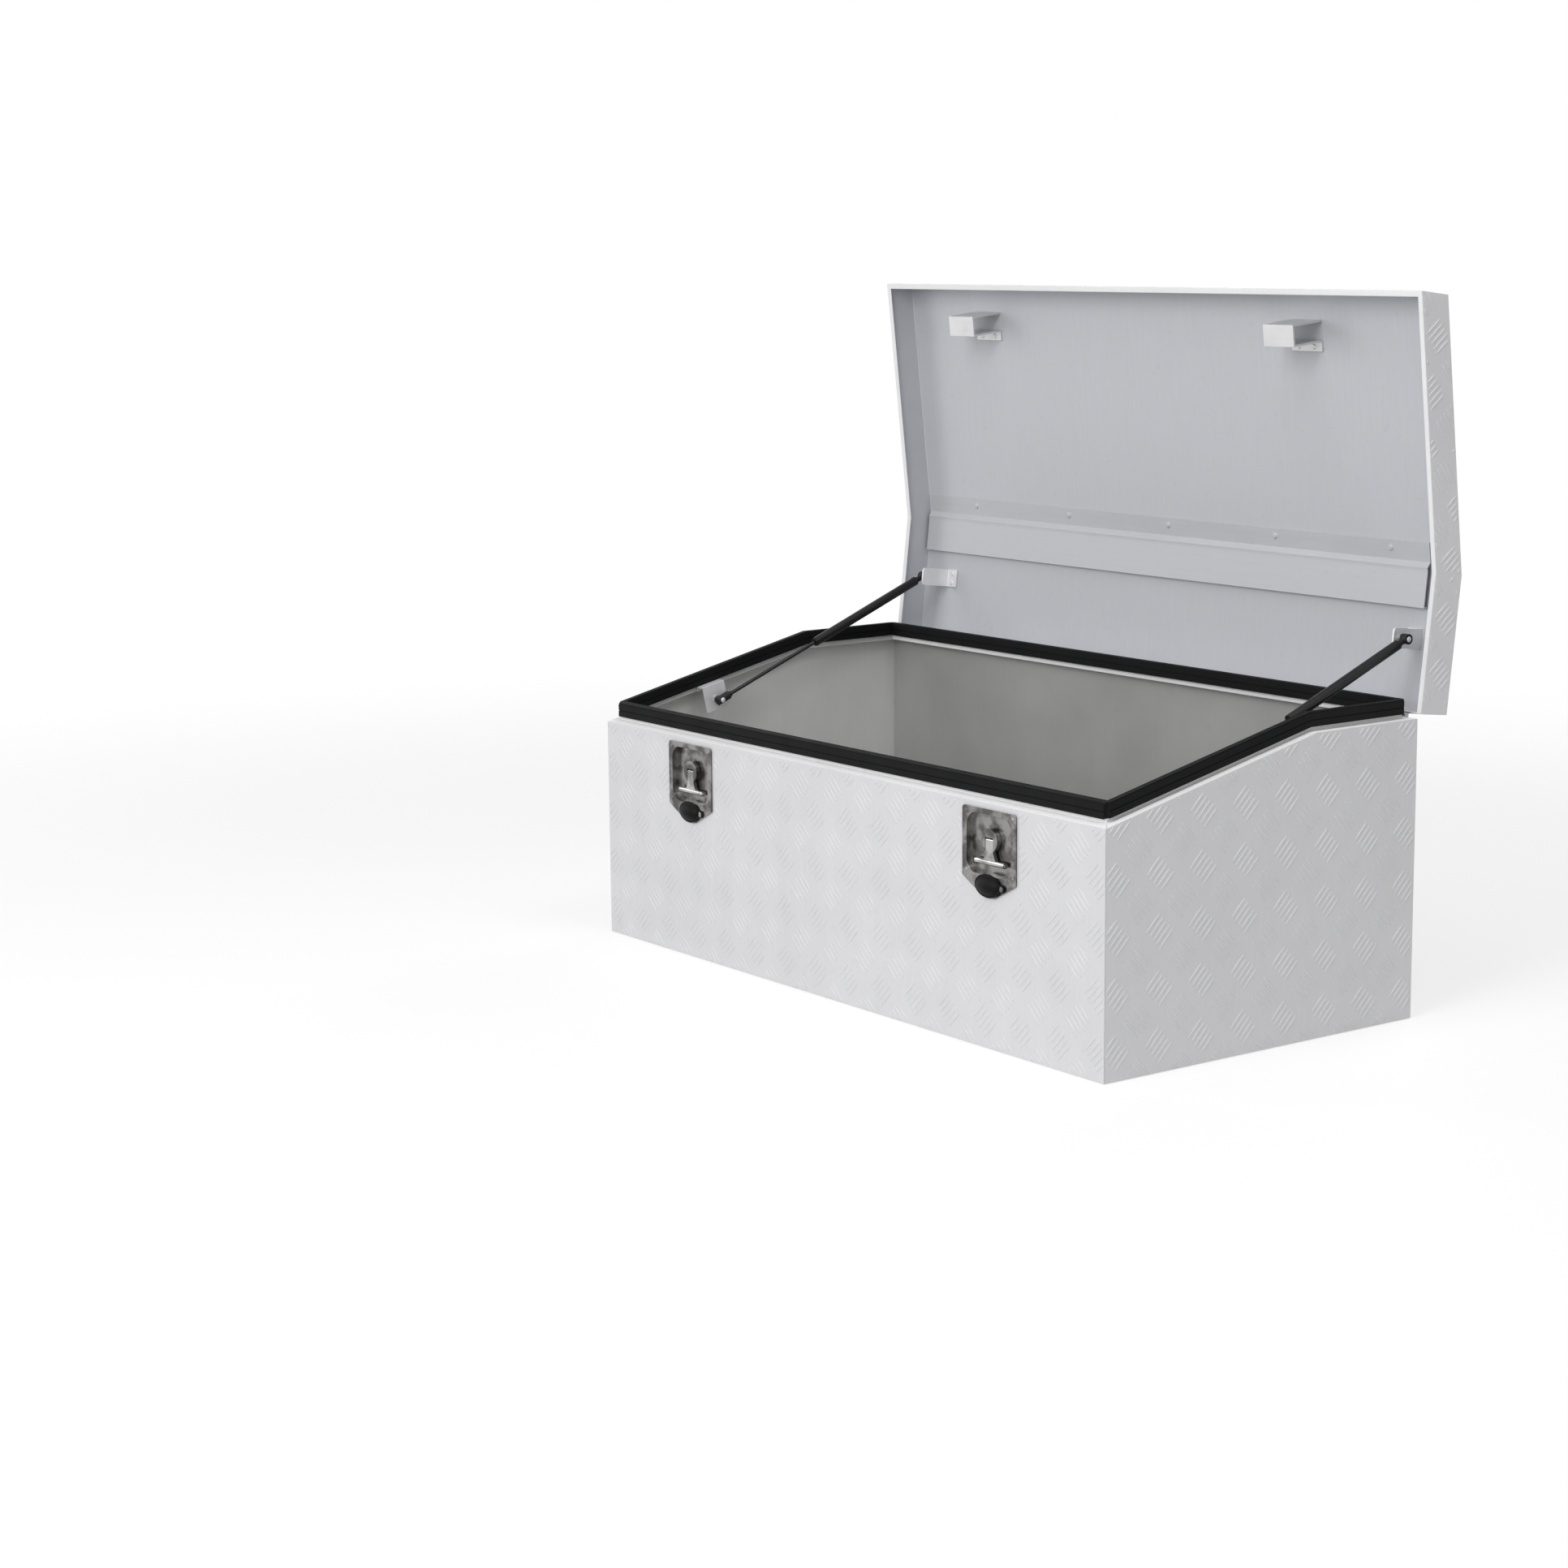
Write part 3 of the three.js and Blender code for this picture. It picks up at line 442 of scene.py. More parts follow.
@dataclass(frozen=True)
class MouldedFinish(Finish):
    """Moulded rubber, plastic or paint, with a fine skin texture and a thin bloom."""

    skin_scale: float = 900.0
    skin_relief: float = 0.15
    bloom: float = 0.35
    bloom_roughness: float = 0.3
    bloom_scale: float = 18.0
    specular: float = 0.25

    def wire(self, tree: SurfaceTree) -> None:
        """Lays bloom and a fine skin on the moulded surface.

        Args:
            tree: The new material's tree.
        """
        film = tree.effect(CloudyFilm, Vector=tree.place, Scale=self.bloom_scale)
        tree.tint(self.colour, tree.math("MULTIPLY_ADD", film, self.bloom, 1.0))
        rough = tree.math("MULTIPLY_ADD", film, self.bloom_roughness, self.roughness, clamp=True)
        tree.feed(tree.shader["Roughness"], rough)
        tree.emboss(tree.noise(tree.place, self.skin_scale), self.skin_relief)
        tree.shader["Specular IOR Level"].default_value = self.specular


TREAD_PLATE = MetalFinish("Tread plate", Slot.TREAD_PLATE, linear(216, 216, 218), 0.5, 0.18)
PLAIN_SHEET = MetalFinish("Plain sheet", Slot.PLAIN_ALUMINIUM, linear(198, 199, 203), 0.5, 0.12,
                          grain_stretch=(1.5, 40.0, 40.0))
STRIKER_STEEL = MetalFinish("Striker steel", Slot.LATCH_STEEL, linear(214, 214, 215), 0.34, 0.6,
                            grain_stretch=(1.5, 40.0, 40.0), cloud_scale=24.0, scratch_shade=0.0,
                            scratch_relief=0.0)
# Painted light: the ledge and the lid's lower edge get a paler, non-metallic copy of the tread plate, so
# they read bright where the seal trim shades them.
LEDGE_SHEET_PAINTED_LIGHT = MetalFinish("Rim sheet with painted light", Slot.TREAD_PLATE, linear(246, 246, 247), 0.75, 0.0, specular=0.08)
# Painted shade and light: the box's inside is a darker copy of the mill finish for the shade in it, and the
# end walls' insides are a lighter copy for the light they lack.
BOX_INSIDE_PAINTED_SHADE = MetalFinish("Mill finish in the box with painted shade", Slot.TREAD_PLATE, linear(172, 172, 171), 0.5, 0.3,
                          cloud_scale=9.0, cloud_shade=0.22)
ENDS_INSIDE_PAINTED_LIGHT = MetalFinish("Mill finish on the ends with painted light", Slot.TREAD_PLATE, linear(212, 212, 210), 0.5, 0.1,
                         cloud_scale=9.0, cloud_shade=0.22)
LID_INSIDE = MetalFinish("Mill finish in the lid", Slot.TREAD_PLATE, linear(199, 200, 205), 0.5, 0.12,
                         grain_stretch=(40.0, 1.5, 1.5), cloud_scale=5.0, cloud_shade=0.1)
# Latch, handle and hinge steel carry dark patches of painted reflection and tarnish.
LATCH_STEEL = MetalFinish("Latch steel", Slot.LATCH_STEEL, linear(150, 148, 146), 0.24, 0.9,
                          grain_stretch=(1.0, 12.0, 12.0), grain_scale=60.0, cloud_scale=30.0, reflection_tarnish_darkest=0.35)
HANDLE_STEEL = MetalFinish("Handle steel", Slot.LATCH_STEEL, linear(184, 184, 183), 0.2, 0.95,
                           grain_shade=0.02, cloud_scale=60.0, reflection_tarnish_darkest=0.5)
HINGE_STEEL = MetalFinish("Hinge steel", Slot.HINGE_STEEL, linear(176, 175, 172), 0.3, 0.9,
                          grain_stretch=(1.0, 30.0, 30.0), grain_scale=20.0, reflection_tarnish_darkest=0.75)
ZINC_STEEL = MetalFinish("Zinc plated steel", Slot.ZINC_STEEL, linear(176, 177, 180), 0.36, 0.8,
                         grain_stretch=(6.0, 6.0, 6.0), cloud_scale=60.0, cloud_shade=0.25)
# Painted light: brackets and clips are a paler copy of the zinc plated steel, which lifts them out of the
# shade inside the box.
BRACKET_STEEL_PAINTED_LIGHT = MetalFinish("Bracket steel with painted light", Slot.ZINC_STEEL, linear(236, 236, 238), 0.38, 0.35,
                            grain_stretch=(6.0, 6.0, 6.0), cloud_scale=40.0)
ROD_BLACK = MetalFinish("Rod black", Slot.ROD_BLACK, linear(38, 38, 40), 0.22, 0.5,
                        grain_shade=0.01, grain_relief=0.02, cloud_shade=0.03)
KEY_BRASS = MetalFinish("Key brass", Slot.KEY_BRASS, linear(176, 141, 74), 0.3, 0.9, cloud_scale=80.0)
SEAL_RUBBER = MouldedFinish("Seal rubber", Slot.SEAL_RUBBER, linear(14, 15, 16), 0.7, specular=0.13)
CAP_RUBBER = MouldedFinish("Cap rubber", Slot.CAP_RUBBER, linear(12, 12, 13), 0.5, specular=0.12)
STRUT_BLACK = MouldedFinish("Strut paint", Slot.STRUT_BLACK, linear(24, 24, 26), 0.32, skin_relief=0.05)
BLACK_PLASTIC = MouldedFinish("Black plastic", Slot.BLACK_PLASTIC, linear(28, 28, 30), 0.45)


# Objects and meshes


def new_object(name: str, data: bpy.types.ID) -> bpy.types.Object:
    """Puts a mesh, a light or a camera into the scene, at the origin.

    Args:
        name: The object's name.
        data: What it shows.

    Returns:
        The object.
    """
    made = bpy.data.objects.new(name, data)
    bpy.context.scene.collection.objects.link(made)
    return made


def settled(source: bpy.types.Object) -> bpy.types.Object:
    """Turns an object's modifiers into a plain mesh.

    Args:
        source: The object with live modifiers.

    Returns:
        The same object, with the result as its mesh and no modifiers.
    """
    graph = bpy.context.evaluated_depsgraph_get()
    graph.update()
    mesh = bpy.data.meshes.new_from_object(source.evaluated_get(graph), preserve_all_data_layers=True,
                                           depsgraph=graph)
    old = source.data
    source.modifiers.clear()
    source.data = mesh
    bpy.data.meshes.remove(old)
    mesh.name = source.name
    return source


def finish_with(piece: bpy.types.Object, finish: Finish, body: str) -> bpy.types.Object:
    """Gives a piece its finish, and lets it ride.

    Args:
        piece: The finished piece.
        finish: Its finish.
        body: Name of the body that it moves with.

    Returns:
        The piece.
    """
    piece.data.materials.clear()
    piece.data.materials.append(finish.build())
    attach(piece, body)
    return piece


@dataclass(frozen=True)
class EdgeStyle:
    """How the edges of a piece are softened, and how flat neighbours are that merge into one face."""

    width: float
    segments: int = 2
    bevel_above: float = math.radians(35)
    smooth_below: float = math.radians(50)
    merge_below: float = math.radians(0.6)


FOLDED_SHEET = EdgeStyle(0.9 * MM)
CUT_SHEET = EdgeStyle(0.4 * MM)
BENT_STRAP = EdgeStyle(0.4 * MM, merge_below=0.0)
TURNED = EdgeStyle(0.3 * MM)
FINE = EdgeStyle(0.15 * MM, segments=1)
SOFT_TRIM = EdgeStyle(1.4 * MM, segments=3)
SOFT_CAP = EdgeStyle(1.2 * MM, segments=4)
ROUND_TUBE = EdgeStyle(1 * MM, segments=3)


def merged_mesh(node: bpy.types.Object, merge_below: float) -> bpy.types.Mesh:
    """A copy of a CAD node's mesh with its loose triangles joined.

    Args:
        node: The CAD node.
        merge_below: Angle up to which neighbours merge into one face, or zero.

    Returns:
        The copy, set to shade smoothly.
    """
    mesh = node.data.copy()
    shape = bmesh.new()
    shape.from_mesh(mesh)
    bmesh.ops.remove_doubles(shape, verts=shape.verts, dist=WELD)
    if merge_below:
        bmesh.ops.dissolve_limit(shape, angle_limit=merge_below, verts=shape.verts, edges=shape.edges)
    shape.to_mesh(mesh)
    shape.free()
    if mesh.has_custom_normals:
        mesh.attributes.remove(mesh.attributes["custom_normal"])
    mesh.polygons.foreach_set("use_smooth", [True] * len(mesh.polygons))
    return mesh


def softened(node: bpy.types.Object, style: EdgeStyle, finish: Finish,
             regions: Sequence[tuple[Finish, Callable[[Vector], bool]]] = ()) -> bpy.types.Object:
    """A copy of a CAD node with rounded edges and smooth round faces, which stands for the node.

    Args:
        node: The CAD node.
        style: How its edges are softened.
        finish: Its finish.
        regions: Other finishes, each with a test of whether a point just off a face lies in its region.

    Returns:
        The copy, riding on the node's body.
    """
    copy = new_object(node.name + "_finished", merged_mesh(node, style.merge_below))
    bevel = copy.modifiers.new("Edges", "BEVEL")
    bevel.width = style.width
    bevel.segments = style.segments
    bevel.limit_method = "ANGLE"
    bevel.angle_limit = style.bevel_above
    bevel.use_clamp_overlap = True
    settled(copy)
    copy.data.set_sharp_from_angle(angle=style.smooth_below)
    weighted = copy.modifiers.new("Normals", "WEIGHTED_NORMAL")
    weighted.keep_sharp = True
    settled(copy)
    finish_with(copy, finish, node["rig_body"])
    for other, _ in regions:
        copy.data.materials.append(other.build())
    for face in copy.data.polygons:
        probe = face.center + face.normal * REGION_PROBE
        hits = (index for index, (_, within) in enumerate(regions, 1) if within(probe))
        face.material_index = next(hits, 0)
    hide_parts(node.name)
    return copy


# Geometry Nodes


class GeometryTree(NodeTree):
    """A Geometry Nodes tree with named inputs, and the modifier that runs it."""

    def __init__(self, name: str, inputs: dict[str, tuple[str, object]]) -> None:
        """Starts the tree.

        Args:
            name: The tree's name.
            inputs: Socket type and first value of each named input, apart from the geometry.
        """
        super().__init__(bpy.data.node_groups.new(name, "GeometryNodeTree"))
        face = self.tree.interface
        face.new_socket("Geometry", in_out="INPUT", socket_type="NodeSocketGeometry")
        for label, (kind, value) in inputs.items():
            socket = face.new_socket(label, in_out="INPUT", socket_type=kind)
            if value is not None:
                socket.default_value = value
        face.new_socket("Geometry", in_out="OUTPUT", socket_type="NodeSocketGeometry")
        self.given = self.node("NodeGroupInput").outputs
        self.result = self.node("NodeGroupOutput").inputs["Geometry"]

    def vector(self, name: str) -> Socket:
        """The value of a named vector attribute of the geometry."""
        found = self.node("GeometryNodeInputNamedAttribute", {"Name": name}, data_type="FLOAT_VECTOR")
        return found.outputs["Attribute"]

    def run_on(self, piece: bpy.types.Object, values: dict[str, object]) -> bpy.types.Object:
        """Runs the tree on an object and keeps the result as its mesh.

        Args:
            piece: The object whose mesh goes in.
            values: Values of the named inputs.

        Returns:
            The object with the result.
        """
        modifier = piece.modifiers.new(self.tree.name, "NODES")
        modifier.node_group = self.tree
        for item in self.tree.interface.items_tree:
            if item.in_out == "INPUT" and item.name in values:
                modifier[item.identifier] = values[item.name]
        return settled(piece)


def point_mesh(name: str, places: Sequence[Vector], vectors: dict[str, Sequence[Vector]]) -> bpy.types.Mesh:
    """A mesh of loose points with vector attributes, for a Geometry Nodes tree to work on.

    Args:
        name: The mesh's name.
        places: The points.
        vectors: For each attribute's name, a vector at each point.

    Returns:
        The mesh.
    """
    mesh = bpy.data.meshes.new(name)
    mesh.from_pydata([tuple(place) for place in places], [], [])
    for label, values in vectors.items():
        layer = mesh.attributes.new(label, "FLOAT_VECTOR", "POINT")
        layer.data.foreach_set("vector", np.array([tuple(value) for value in values], np.float32).ravel())
    return mesh


def scatter_tree(name: str, segments: int, rings: int) -> GeometryTree:
    """A tree that sets one rounded lens on each point, turned to its normal and heading.

    Args:
        name: The tree's name.
        segments: Faces round the lens.
        rings: Rings of faces from its tip to its foot.

    Returns:
        The tree, with the input Material.
    """
    tree = GeometryTree(name, {"Material": ("NodeSocketMaterial", None)})
    lens = tree.node("GeometryNodeMeshUVSphere", {"Segments": segments, "Rings": rings, "Radius": 1.0})
    laid = tree.node("GeometryNodeTransform", {"Geometry": lens, "Rotation": (0.0, math.radians(90), 0.0)})
    turn = tree.node("FunctionNodeAxesToRotation",
                     {"Primary Axis": tree.vector("normal"), "Secondary Axis": tree.vector("heading")},
                     primary_axis="Z", secondary_axis="X")
    copies = tree.node("GeometryNodeInstanceOnPoints",
                       {"Points": tree.given["Geometry"], "Instance": laid, "Rotation": turn,
                        "Scale": tree.vector("half_size")})
    real = tree.node("GeometryNodeRealizeInstances", {"Geometry": copies})
    smooth = tree.node("GeometryNodeSetShadeSmooth", {"Geometry": real})
    coloured = tree.node("GeometryNodeSetMaterial", {"Geometry": smooth, "Material": tree.given["Material"]})
    tree.feed(tree.result, coloured)
    return tree


# The box's own geometry, in its frame


@dataclass(frozen=True)
class BoxShape:
    """Main sizes of the box, read from the frame, and the places that follow from them."""

    side: float
    front: float
    rear: float
    front_height: float
    rear_height: float
    fold: float
    hinge: Vector
    open_angle: float
    seam: float = 2.5 * MM
    lid_height: float = 56 * MM

    @classmethod
    def read(cls, frame: dict[str, object]) -> BoxShape:
        """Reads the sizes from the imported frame.


        Returns:
            The box's shape.
        """
        near = 0.1 * MM
        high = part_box("right_end_panel")[1]
        wall = np.array([vertex.co for vertex in frame["nodes"]["right_end_panel"].data.vertices])
        outer = wall[wall[:, 0] > high.x - near]
        level = outer[outer[:, 2] > outer[:, 2].max() - near]
        front_edge = outer[outer[:, 1] < outer[:, 1].min() + near]
        joint = next(entry for entry in frame["joints"] if entry["name"] == "lid_hinge")
        return cls(side=high.x, front=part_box("front_panel")[0].y, rear=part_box("rear_panel")[1].y,
                   front_height=float(front_edge[:, 2].max()), rear_height=float(outer[:, 2].max()),
                   fold=float(level[:, 1].min()), hinge=Vector(joint["pos_m"]),
                   open_angle=math.radians(joint["range_deg"][1]))

    @property
    def slope(self) -> float:
        """Angle of the slanted top."""
        return math.atan2(self.rear_height - self.front_height, self.fold - self.front)

    def top(self, y: float, lift: float = 0.0) -> float:
        """Height of the top profile at a depth, raised by lift."""
        return min(self.front_height + (y - self.front) * math.tan(self.slope), self.rear_height) + lift

    def opened(self, point: Vector) -> Vector:
        """Where a point of the closed lid lies when the lid is open."""
        return self.hinge + Matrix.Rotation(-self.open_angle, 3, "X") @ (point - self.hinge)

    def closed(self, point: Vector) -> Vector:
        """Where a point of the open lid lies when the lid is closed."""
        return self.hinge + Matrix.Rotation(self.open_angle, 3, "X") @ (point - self.hinge)

    def within_plan(self, point: Vector) -> bool:
        """Whether a point lies inside the outer faces of the four walls."""
        return abs(point.x) < self.side and self.front < point.y < self.rear

    def within_body(self, point: Vector) -> bool:
        """Whether a point lies inside the body, under its top profile."""
        return self.within_plan(point) and 0 < point.z < self.top(point.y)

    def over_body(self, point: Vector) -> bool:
        """Whether a point lies over the body's top profile."""
        return self.within_plan(point) and point.z > self.top(point.y)

    def under_lid(self, point: Vector) -> bool:
        """Whether a point of the open lid lies under the pan's lower edge."""
        shut = self.closed(point)
        return self.within_plan(shut) and shut.z < self.top(shut.y, self.seam)

    def within_lid(self, point: Vector) -> bool:
        """Whether a point of the open lid lies inside the pan."""
        shut = self.closed(point)
        return self.within_plan(shut) and shut.z < self.top(shut.y, self.lid_height)


# Tread pattern


@dataclass(frozen=True)
class Face:
    """A flat stretch of tread plate: a convex outline in its own plane, and the frame of that plane."""

    outline: Outline
    origin: Vector
    along: Vector
    up: Vector
    keep_clear: tuple[Spot, ...] = ()


@dataclass
class TreadPattern:
    """Five-bar tread: groups of five parallel bars, whose direction changes from group to group."""

    pitch: float = 78 * MM
    bars: int = 5
    bar_length: float = 38 * MM
    bar_spacing: float = 8.5 * MM
    bar_width: float = 4.4 * MM
    bar_height: float = 0.8 * MM
    margin: float = 2 * MM
    shortest: float = 7 * MM
    segments: int = 10
    rings: int = 6
    tree: GeometryTree | None = field(default=None, repr=False)

    def lay(self, name: str, faces: Iterable[Face], shape: BoxShape, body: Body) -> bpy.types.Object:
        """Lays the pattern on the faces as one piece.

        Args:
            name: The piece's name.
            faces: The faces that it covers, the lid's as they lie with the lid closed.
            shape: The box's shape, which opens the lid's faces.
            body: The body that the piece rides on.

        Returns:
            The piece.
        """
        if self.tree is None:
            self.tree = scatter_tree("Tread_Bars", self.segments, self.rings)
        places: list[Vector] = []
        vectors: dict[str, list[Vector]] = {"normal": [], "heading": [], "half_size": []}
        for face in faces:
            normal = face.along.cross(face.up)
            for start, end in self.bars_on(face):
                ends = [face.origin + face.along * u + face.up * v for u, v in (start, end)]
                tip = ends[0] + normal
                if body is Body.LID:
                    ends = [shape.opened(point) for point in ends]
                    tip = shape.opened(tip)
                bar = ends[1] - ends[0]
                places.append((ends[0] + ends[1]) / 2)
                vectors["normal"].append(tip - ends[0])
                vectors["heading"].append(bar.normalized())
                vectors["half_size"].append(Vector((bar.length / 2, self.bar_width / 2, self.bar_height)))
        mesh = point_mesh(name, places, vectors)
        piece = self.tree.run_on(new_object(name, mesh), {"Material": TREAD_PLATE.build()})
        finish_with(piece, TREAD_PLATE, body.value)
        LOG.info("%s: %d bars, %d faces", name, len(places), len(piece.data.polygons))
        return piece

    def bars_on(self, face: Face) -> list[tuple[tuple[float, float], tuple[float, float]]]:
        """The bars of a face, cut to its outline and kept off what is fixed to it.

        Args:
            face: The face.

        Returns:
            Start and end of each bar in the face's plane.
        """
        outline = np.array(face.outline)
        low, high = outline.min(0), outline.max(0)
        step = self.pitch / 2
        found = []
        for i in range(math.floor(low[0] / step) - 1, math.ceil(high[0] / step) + 2):
            for j in range(math.floor(low[1] / step) - 1, math.ceil(high[1] / step) + 2):
                if (i + j) % 2:
                    continue
                way = np.array((1.0, 1.0 if i % 2 else -1.0)) / math.sqrt(2)
                across = np.array((-way[1], way[0]))
                for number in range(self.bars):
                    offset = (number - (self.bars - 1) / 2) * self.bar_spacing
                    middle = np.array((i, j)) * step + across * offset
                    half = way * self.bar_length / 2
                    found += self.trimmed((middle - half, middle + half), outline, face.keep_clear)
        return found

    def trimmed(self, span: tuple[np.ndarray, np.ndarray], outline: np.ndarray,
                keep_clear: Sequence[Spot]) -> list[tuple[tuple[float, float], tuple[float, float]]]:
        """Cuts a bar to an outline and round the rectangles that stay clear.

        Args:
            span: Start and end of the bar.
            outline: Corners of the convex outline, anticlockwise.
            keep_clear: Rectangles as left, low, right and high.

        Returns:
            The stretches that are left, each long enough to keep.
        """
        start, end = span
        way = end - start
        whole = self.inside(start, way, outline, self.margin)
        stretches = [whole] if whole else []
        for spot in keep_clear:
            hole = self.inside(start, way, np.array(rectangle(*spot)), -self.margin)
            if hole is not None:
                stretches = [part for enter, leave in stretches
                             for part in ((enter, min(leave, hole[0])), (max(enter, hole[1]), leave))]
        length = float(np.hypot(*way))
        return [(tuple(start + way * enter), tuple(start + way * leave)) for enter, leave in stretches
                if (leave - enter) * length > self.shortest]

    @staticmethod
    def inside(start: np.ndarray, way: np.ndarray, outline: np.ndarray,
               margin: float) -> tuple[float, float] | None:
        """The part of a line that lies inside a convex outline drawn in by a margin.

        Args:
            start: Start of the line.
            way: From its start to its end.
            outline: Corners of the outline, anticlockwise.
            margin: How far the outline is drawn in.

        Returns:
            Where the part starts and ends, as shares of the line, or None.
        """
        enter, leave = 0.0, 1.0
        for corner, following in zip(outline, np.roll(outline, -1, 0)):
            edge = following - corner
            inward = np.array((-edge[1], edge[0])) / np.hypot(*edge)
            gap = float(inward @ (start - corner)) - margin
            rate = float(inward @ way)
            if abs(rate) < PARALLEL:
                if gap < 0:
                    return None
            elif rate > 0:
                enter = max(enter, -gap / rate)
            else:
                leave = min(leave, -gap / rate)
        return (enter, leave) if enter < leave else None


def rectangle(left: float, low: float, right: float, high: float) -> Outline:
    """Corners of a rectangle, anticlockwise."""
    return ((left, low), (right, low), (right, high), (left, high))


# Sub-assemblies


@dataclass
class Shell:
    """The folded and welded body: walls, ledge, lip and floor."""

    shape: BoxShape
    frame: dict[str, object]
    pattern: TreadPattern
    latch_clearance: float = 1 * MM
    sheet_nodes: tuple[str, ...] = ("front_panel", "rear_panel", "left_end_panel", "right_end_panel",
                                    "floor_panel")

    def dress(self) -> None:
        """Softens the sheet's folds and lays the tread on every outer face."""
        for name in self.sheet_nodes:
            # Inside, a darker mill finish paints the box's shade and a lighter one on the end walls paints
            # light; the ledge over the body gets the rim sheet's painted light.
            inner = ENDS_INSIDE_PAINTED_LIGHT if "end" in name else BOX_INSIDE_PAINTED_SHADE
            softened(self.frame["nodes"][name], FOLDED_SHEET, TREAD_PLATE,
                     [(inner, self.shape.within_body), (LEDGE_SHEET_PAINTED_LIGHT, self.shape.over_body)])
        for name, face in self.faces().items():
            self.pattern.lay(f"{name}_tread", [face], self.shape, Body.ROOT)

    def latch_rectangles(self) -> tuple[Spot, ...]:
        """The stretches of the front wall that the latch plates cover.

        Returns:
            One for each plate.
        """
        spots = []
        for hand in HANDS:
            low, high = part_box(f"{hand}_latch_plate")
            grow = self.latch_clearance
            spots.append((low.x - grow, low.z - grow, high.x + grow, high.z + grow))
        return tuple(spots)

    def hinge_rectangle(self) -> Spot:
        """The stretch of the rear wall that the hinge's leaf covers, seen from behind."""
        low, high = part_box("hinge_leaf_body")
        return (low.x, low.z, high.x, high.z)

    def faces(self) -> dict[str, Face]:
        """The outer faces of the body.

        Returns:
            Each face by the name of its panel.
        """
        s = self.shape
        x, y, z = AXES
        end = ((s.front, 0), (s.rear, 0), (s.rear, s.rear_height), (s.fold, s.rear_height),
               (s.front, s.front_height))
        mirrored = tuple((-u, v) for u, v in reversed(end))
        return {
            "front_panel": Face(rectangle(-s.side, 0, s.side, s.front_height), y * s.front, x, z,
                                self.latch_rectangles()),
            "rear_panel": Face(rectangle(-s.side, 0, s.side, s.rear_height), y * s.rear, -x, z,
                               (self.hinge_rectangle(),)),
            "left_end_panel": Face(mirrored, -x * s.side, -y, z),
            "right_end_panel": Face(end, x * s.side, y, z),
            "floor_panel": Face(rectangle(-s.side, -s.rear, s.side, -s.front), Vector(), x, -y),
        }


@dataclass
class Lid:
    """The lid pan with its brace and strikers."""

    shape: BoxShape
    frame: dict[str, object]
    pattern: TreadPattern

    def dress(self) -> None:
        """Softens the lid's sheet and fittings and lays the tread on its outer faces."""
        nodes = self.frame["nodes"]
        # The pan's lower edge takes the rim sheet with its painted light.
        softened(nodes["lid_pan"], FOLDED_SHEET, TREAD_PLATE,
                 [(LEDGE_SHEET_PAINTED_LIGHT, self.shape.under_lid), (LID_INSIDE, self.shape.within_lid)])
        softened(nodes["lid_brace"], CUT_SHEET, PLAIN_SHEET)
        for hand in HANDS:
            softened(nodes[f"{hand}_striker"], BENT_STRAP, STRIKER_STEEL)
        self.pattern.lay("lid_tread", self.faces(), self.shape, Body.LID)

    def faces(self) -> list[Face]:
        """The outer faces of the lid.

        Returns:
            The faces, as they lie with the lid closed.
        """
        s = self.shape
        x, y, z = AXES
        up_slope = Vector((0, math.cos(s.slope), math.sin(s.slope)))
        slope_length = (s.fold - s.front) / math.cos(s.slope)
        low, high = s.seam, s.lid_height
        leaf_low, leaf_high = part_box("hinge_leaf_body")
        hinge_leaf = (-s.side, s.hinge.z, s.side, s.hinge.z + leaf_high.z - leaf_low.z)
        ends = [
            ((s.front, s.top(s.front, low)), (s.fold, s.top(s.fold, low)), (s.fold, s.top(s.fold, high)),
             (s.front, s.top(s.front, high))),
            ((s.fold, s.rear_height + low), (s.rear, s.rear_height + low), (s.rear, s.rear_height + high),
             (s.fold, s.rear_height + high)),
        ]
        return [
            Face(rectangle(-s.side, s.front_height + low, s.side, s.front_height + high), y * s.front, x, z),
            Face(rectangle(-s.side, 0, s.side, slope_length), Vector((0, s.front, s.front_height + high)), x,
                 up_slope),
            Face(rectangle(-s.side, s.fold, s.side, s.rear), z * (s.rear_height + high), x, y),
            Face(rectangle(-s.side, s.rear_height + low, s.side, s.rear_height + high), y * s.rear, -x, z,
                 (hinge_leaf,)),
            *(Face(outline, x * s.side, y, z) for outline in ends),
            *(Face(tuple((-u, v) for u, v in reversed(outline)), -x * s.side, -y, z) for outline in ends),
        ]


@dataclass
class Fittings:
    """A sub-assembly whose pieces each have an edge style and a finish."""

    frame: dict[str, object]
    prefix: str = ""
    styles: ClassVar[dict[str, tuple[EdgeStyle, Finish]]] = {}

    def dress(self) -> None:
        """Softens and finishes every piece."""
        for piece, (style, finish) in self.styles.items():
            softened(self.frame["nodes"][self.prefix + piece], style, finish)


@dataclass
class PianoHinge(Fittings):
    """The long hinge on the outside of the rear walls."""

    styles = {piece: (FINE, HINGE_STEEL) for piece in ("hinge_leaf_body", "hinge_leaf_lid", "hinge_pin")}


@dataclass
class Seal(Fittings):
    """Rubber edge trim on the lip, in four lengths."""

    styles = {f"seal_{place}": (SOFT_TRIM, SEAL_RUBBER) for place in ("front", "rear", "left", "right")}


@dataclass
class Latch(Fittings):
    """One folding T-handle latch with its key barrel and hook."""

    styles = {
        "gasket": (FINE, SEAL_RUBBER),
        "plate": (CUT_SHEET, LATCH_STEEL),
        "bearing": (TURNED, ZINC_STEEL),
        "spindle": (TURNED, LATCH_STEEL),
        "handle_pin": (FINE, LATCH_STEEL),
        "t_handle": (TURNED, HANDLE_STEEL),
        "hook": (CUT_SHEET, ZINC_STEEL),
        "hook_nut": (TURNED, ZINC_STEEL),
        "key_barrel": (FINE, KEY_BRASS),
        "key_cap": (SOFT_CAP, CAP_RUBBER),
    }


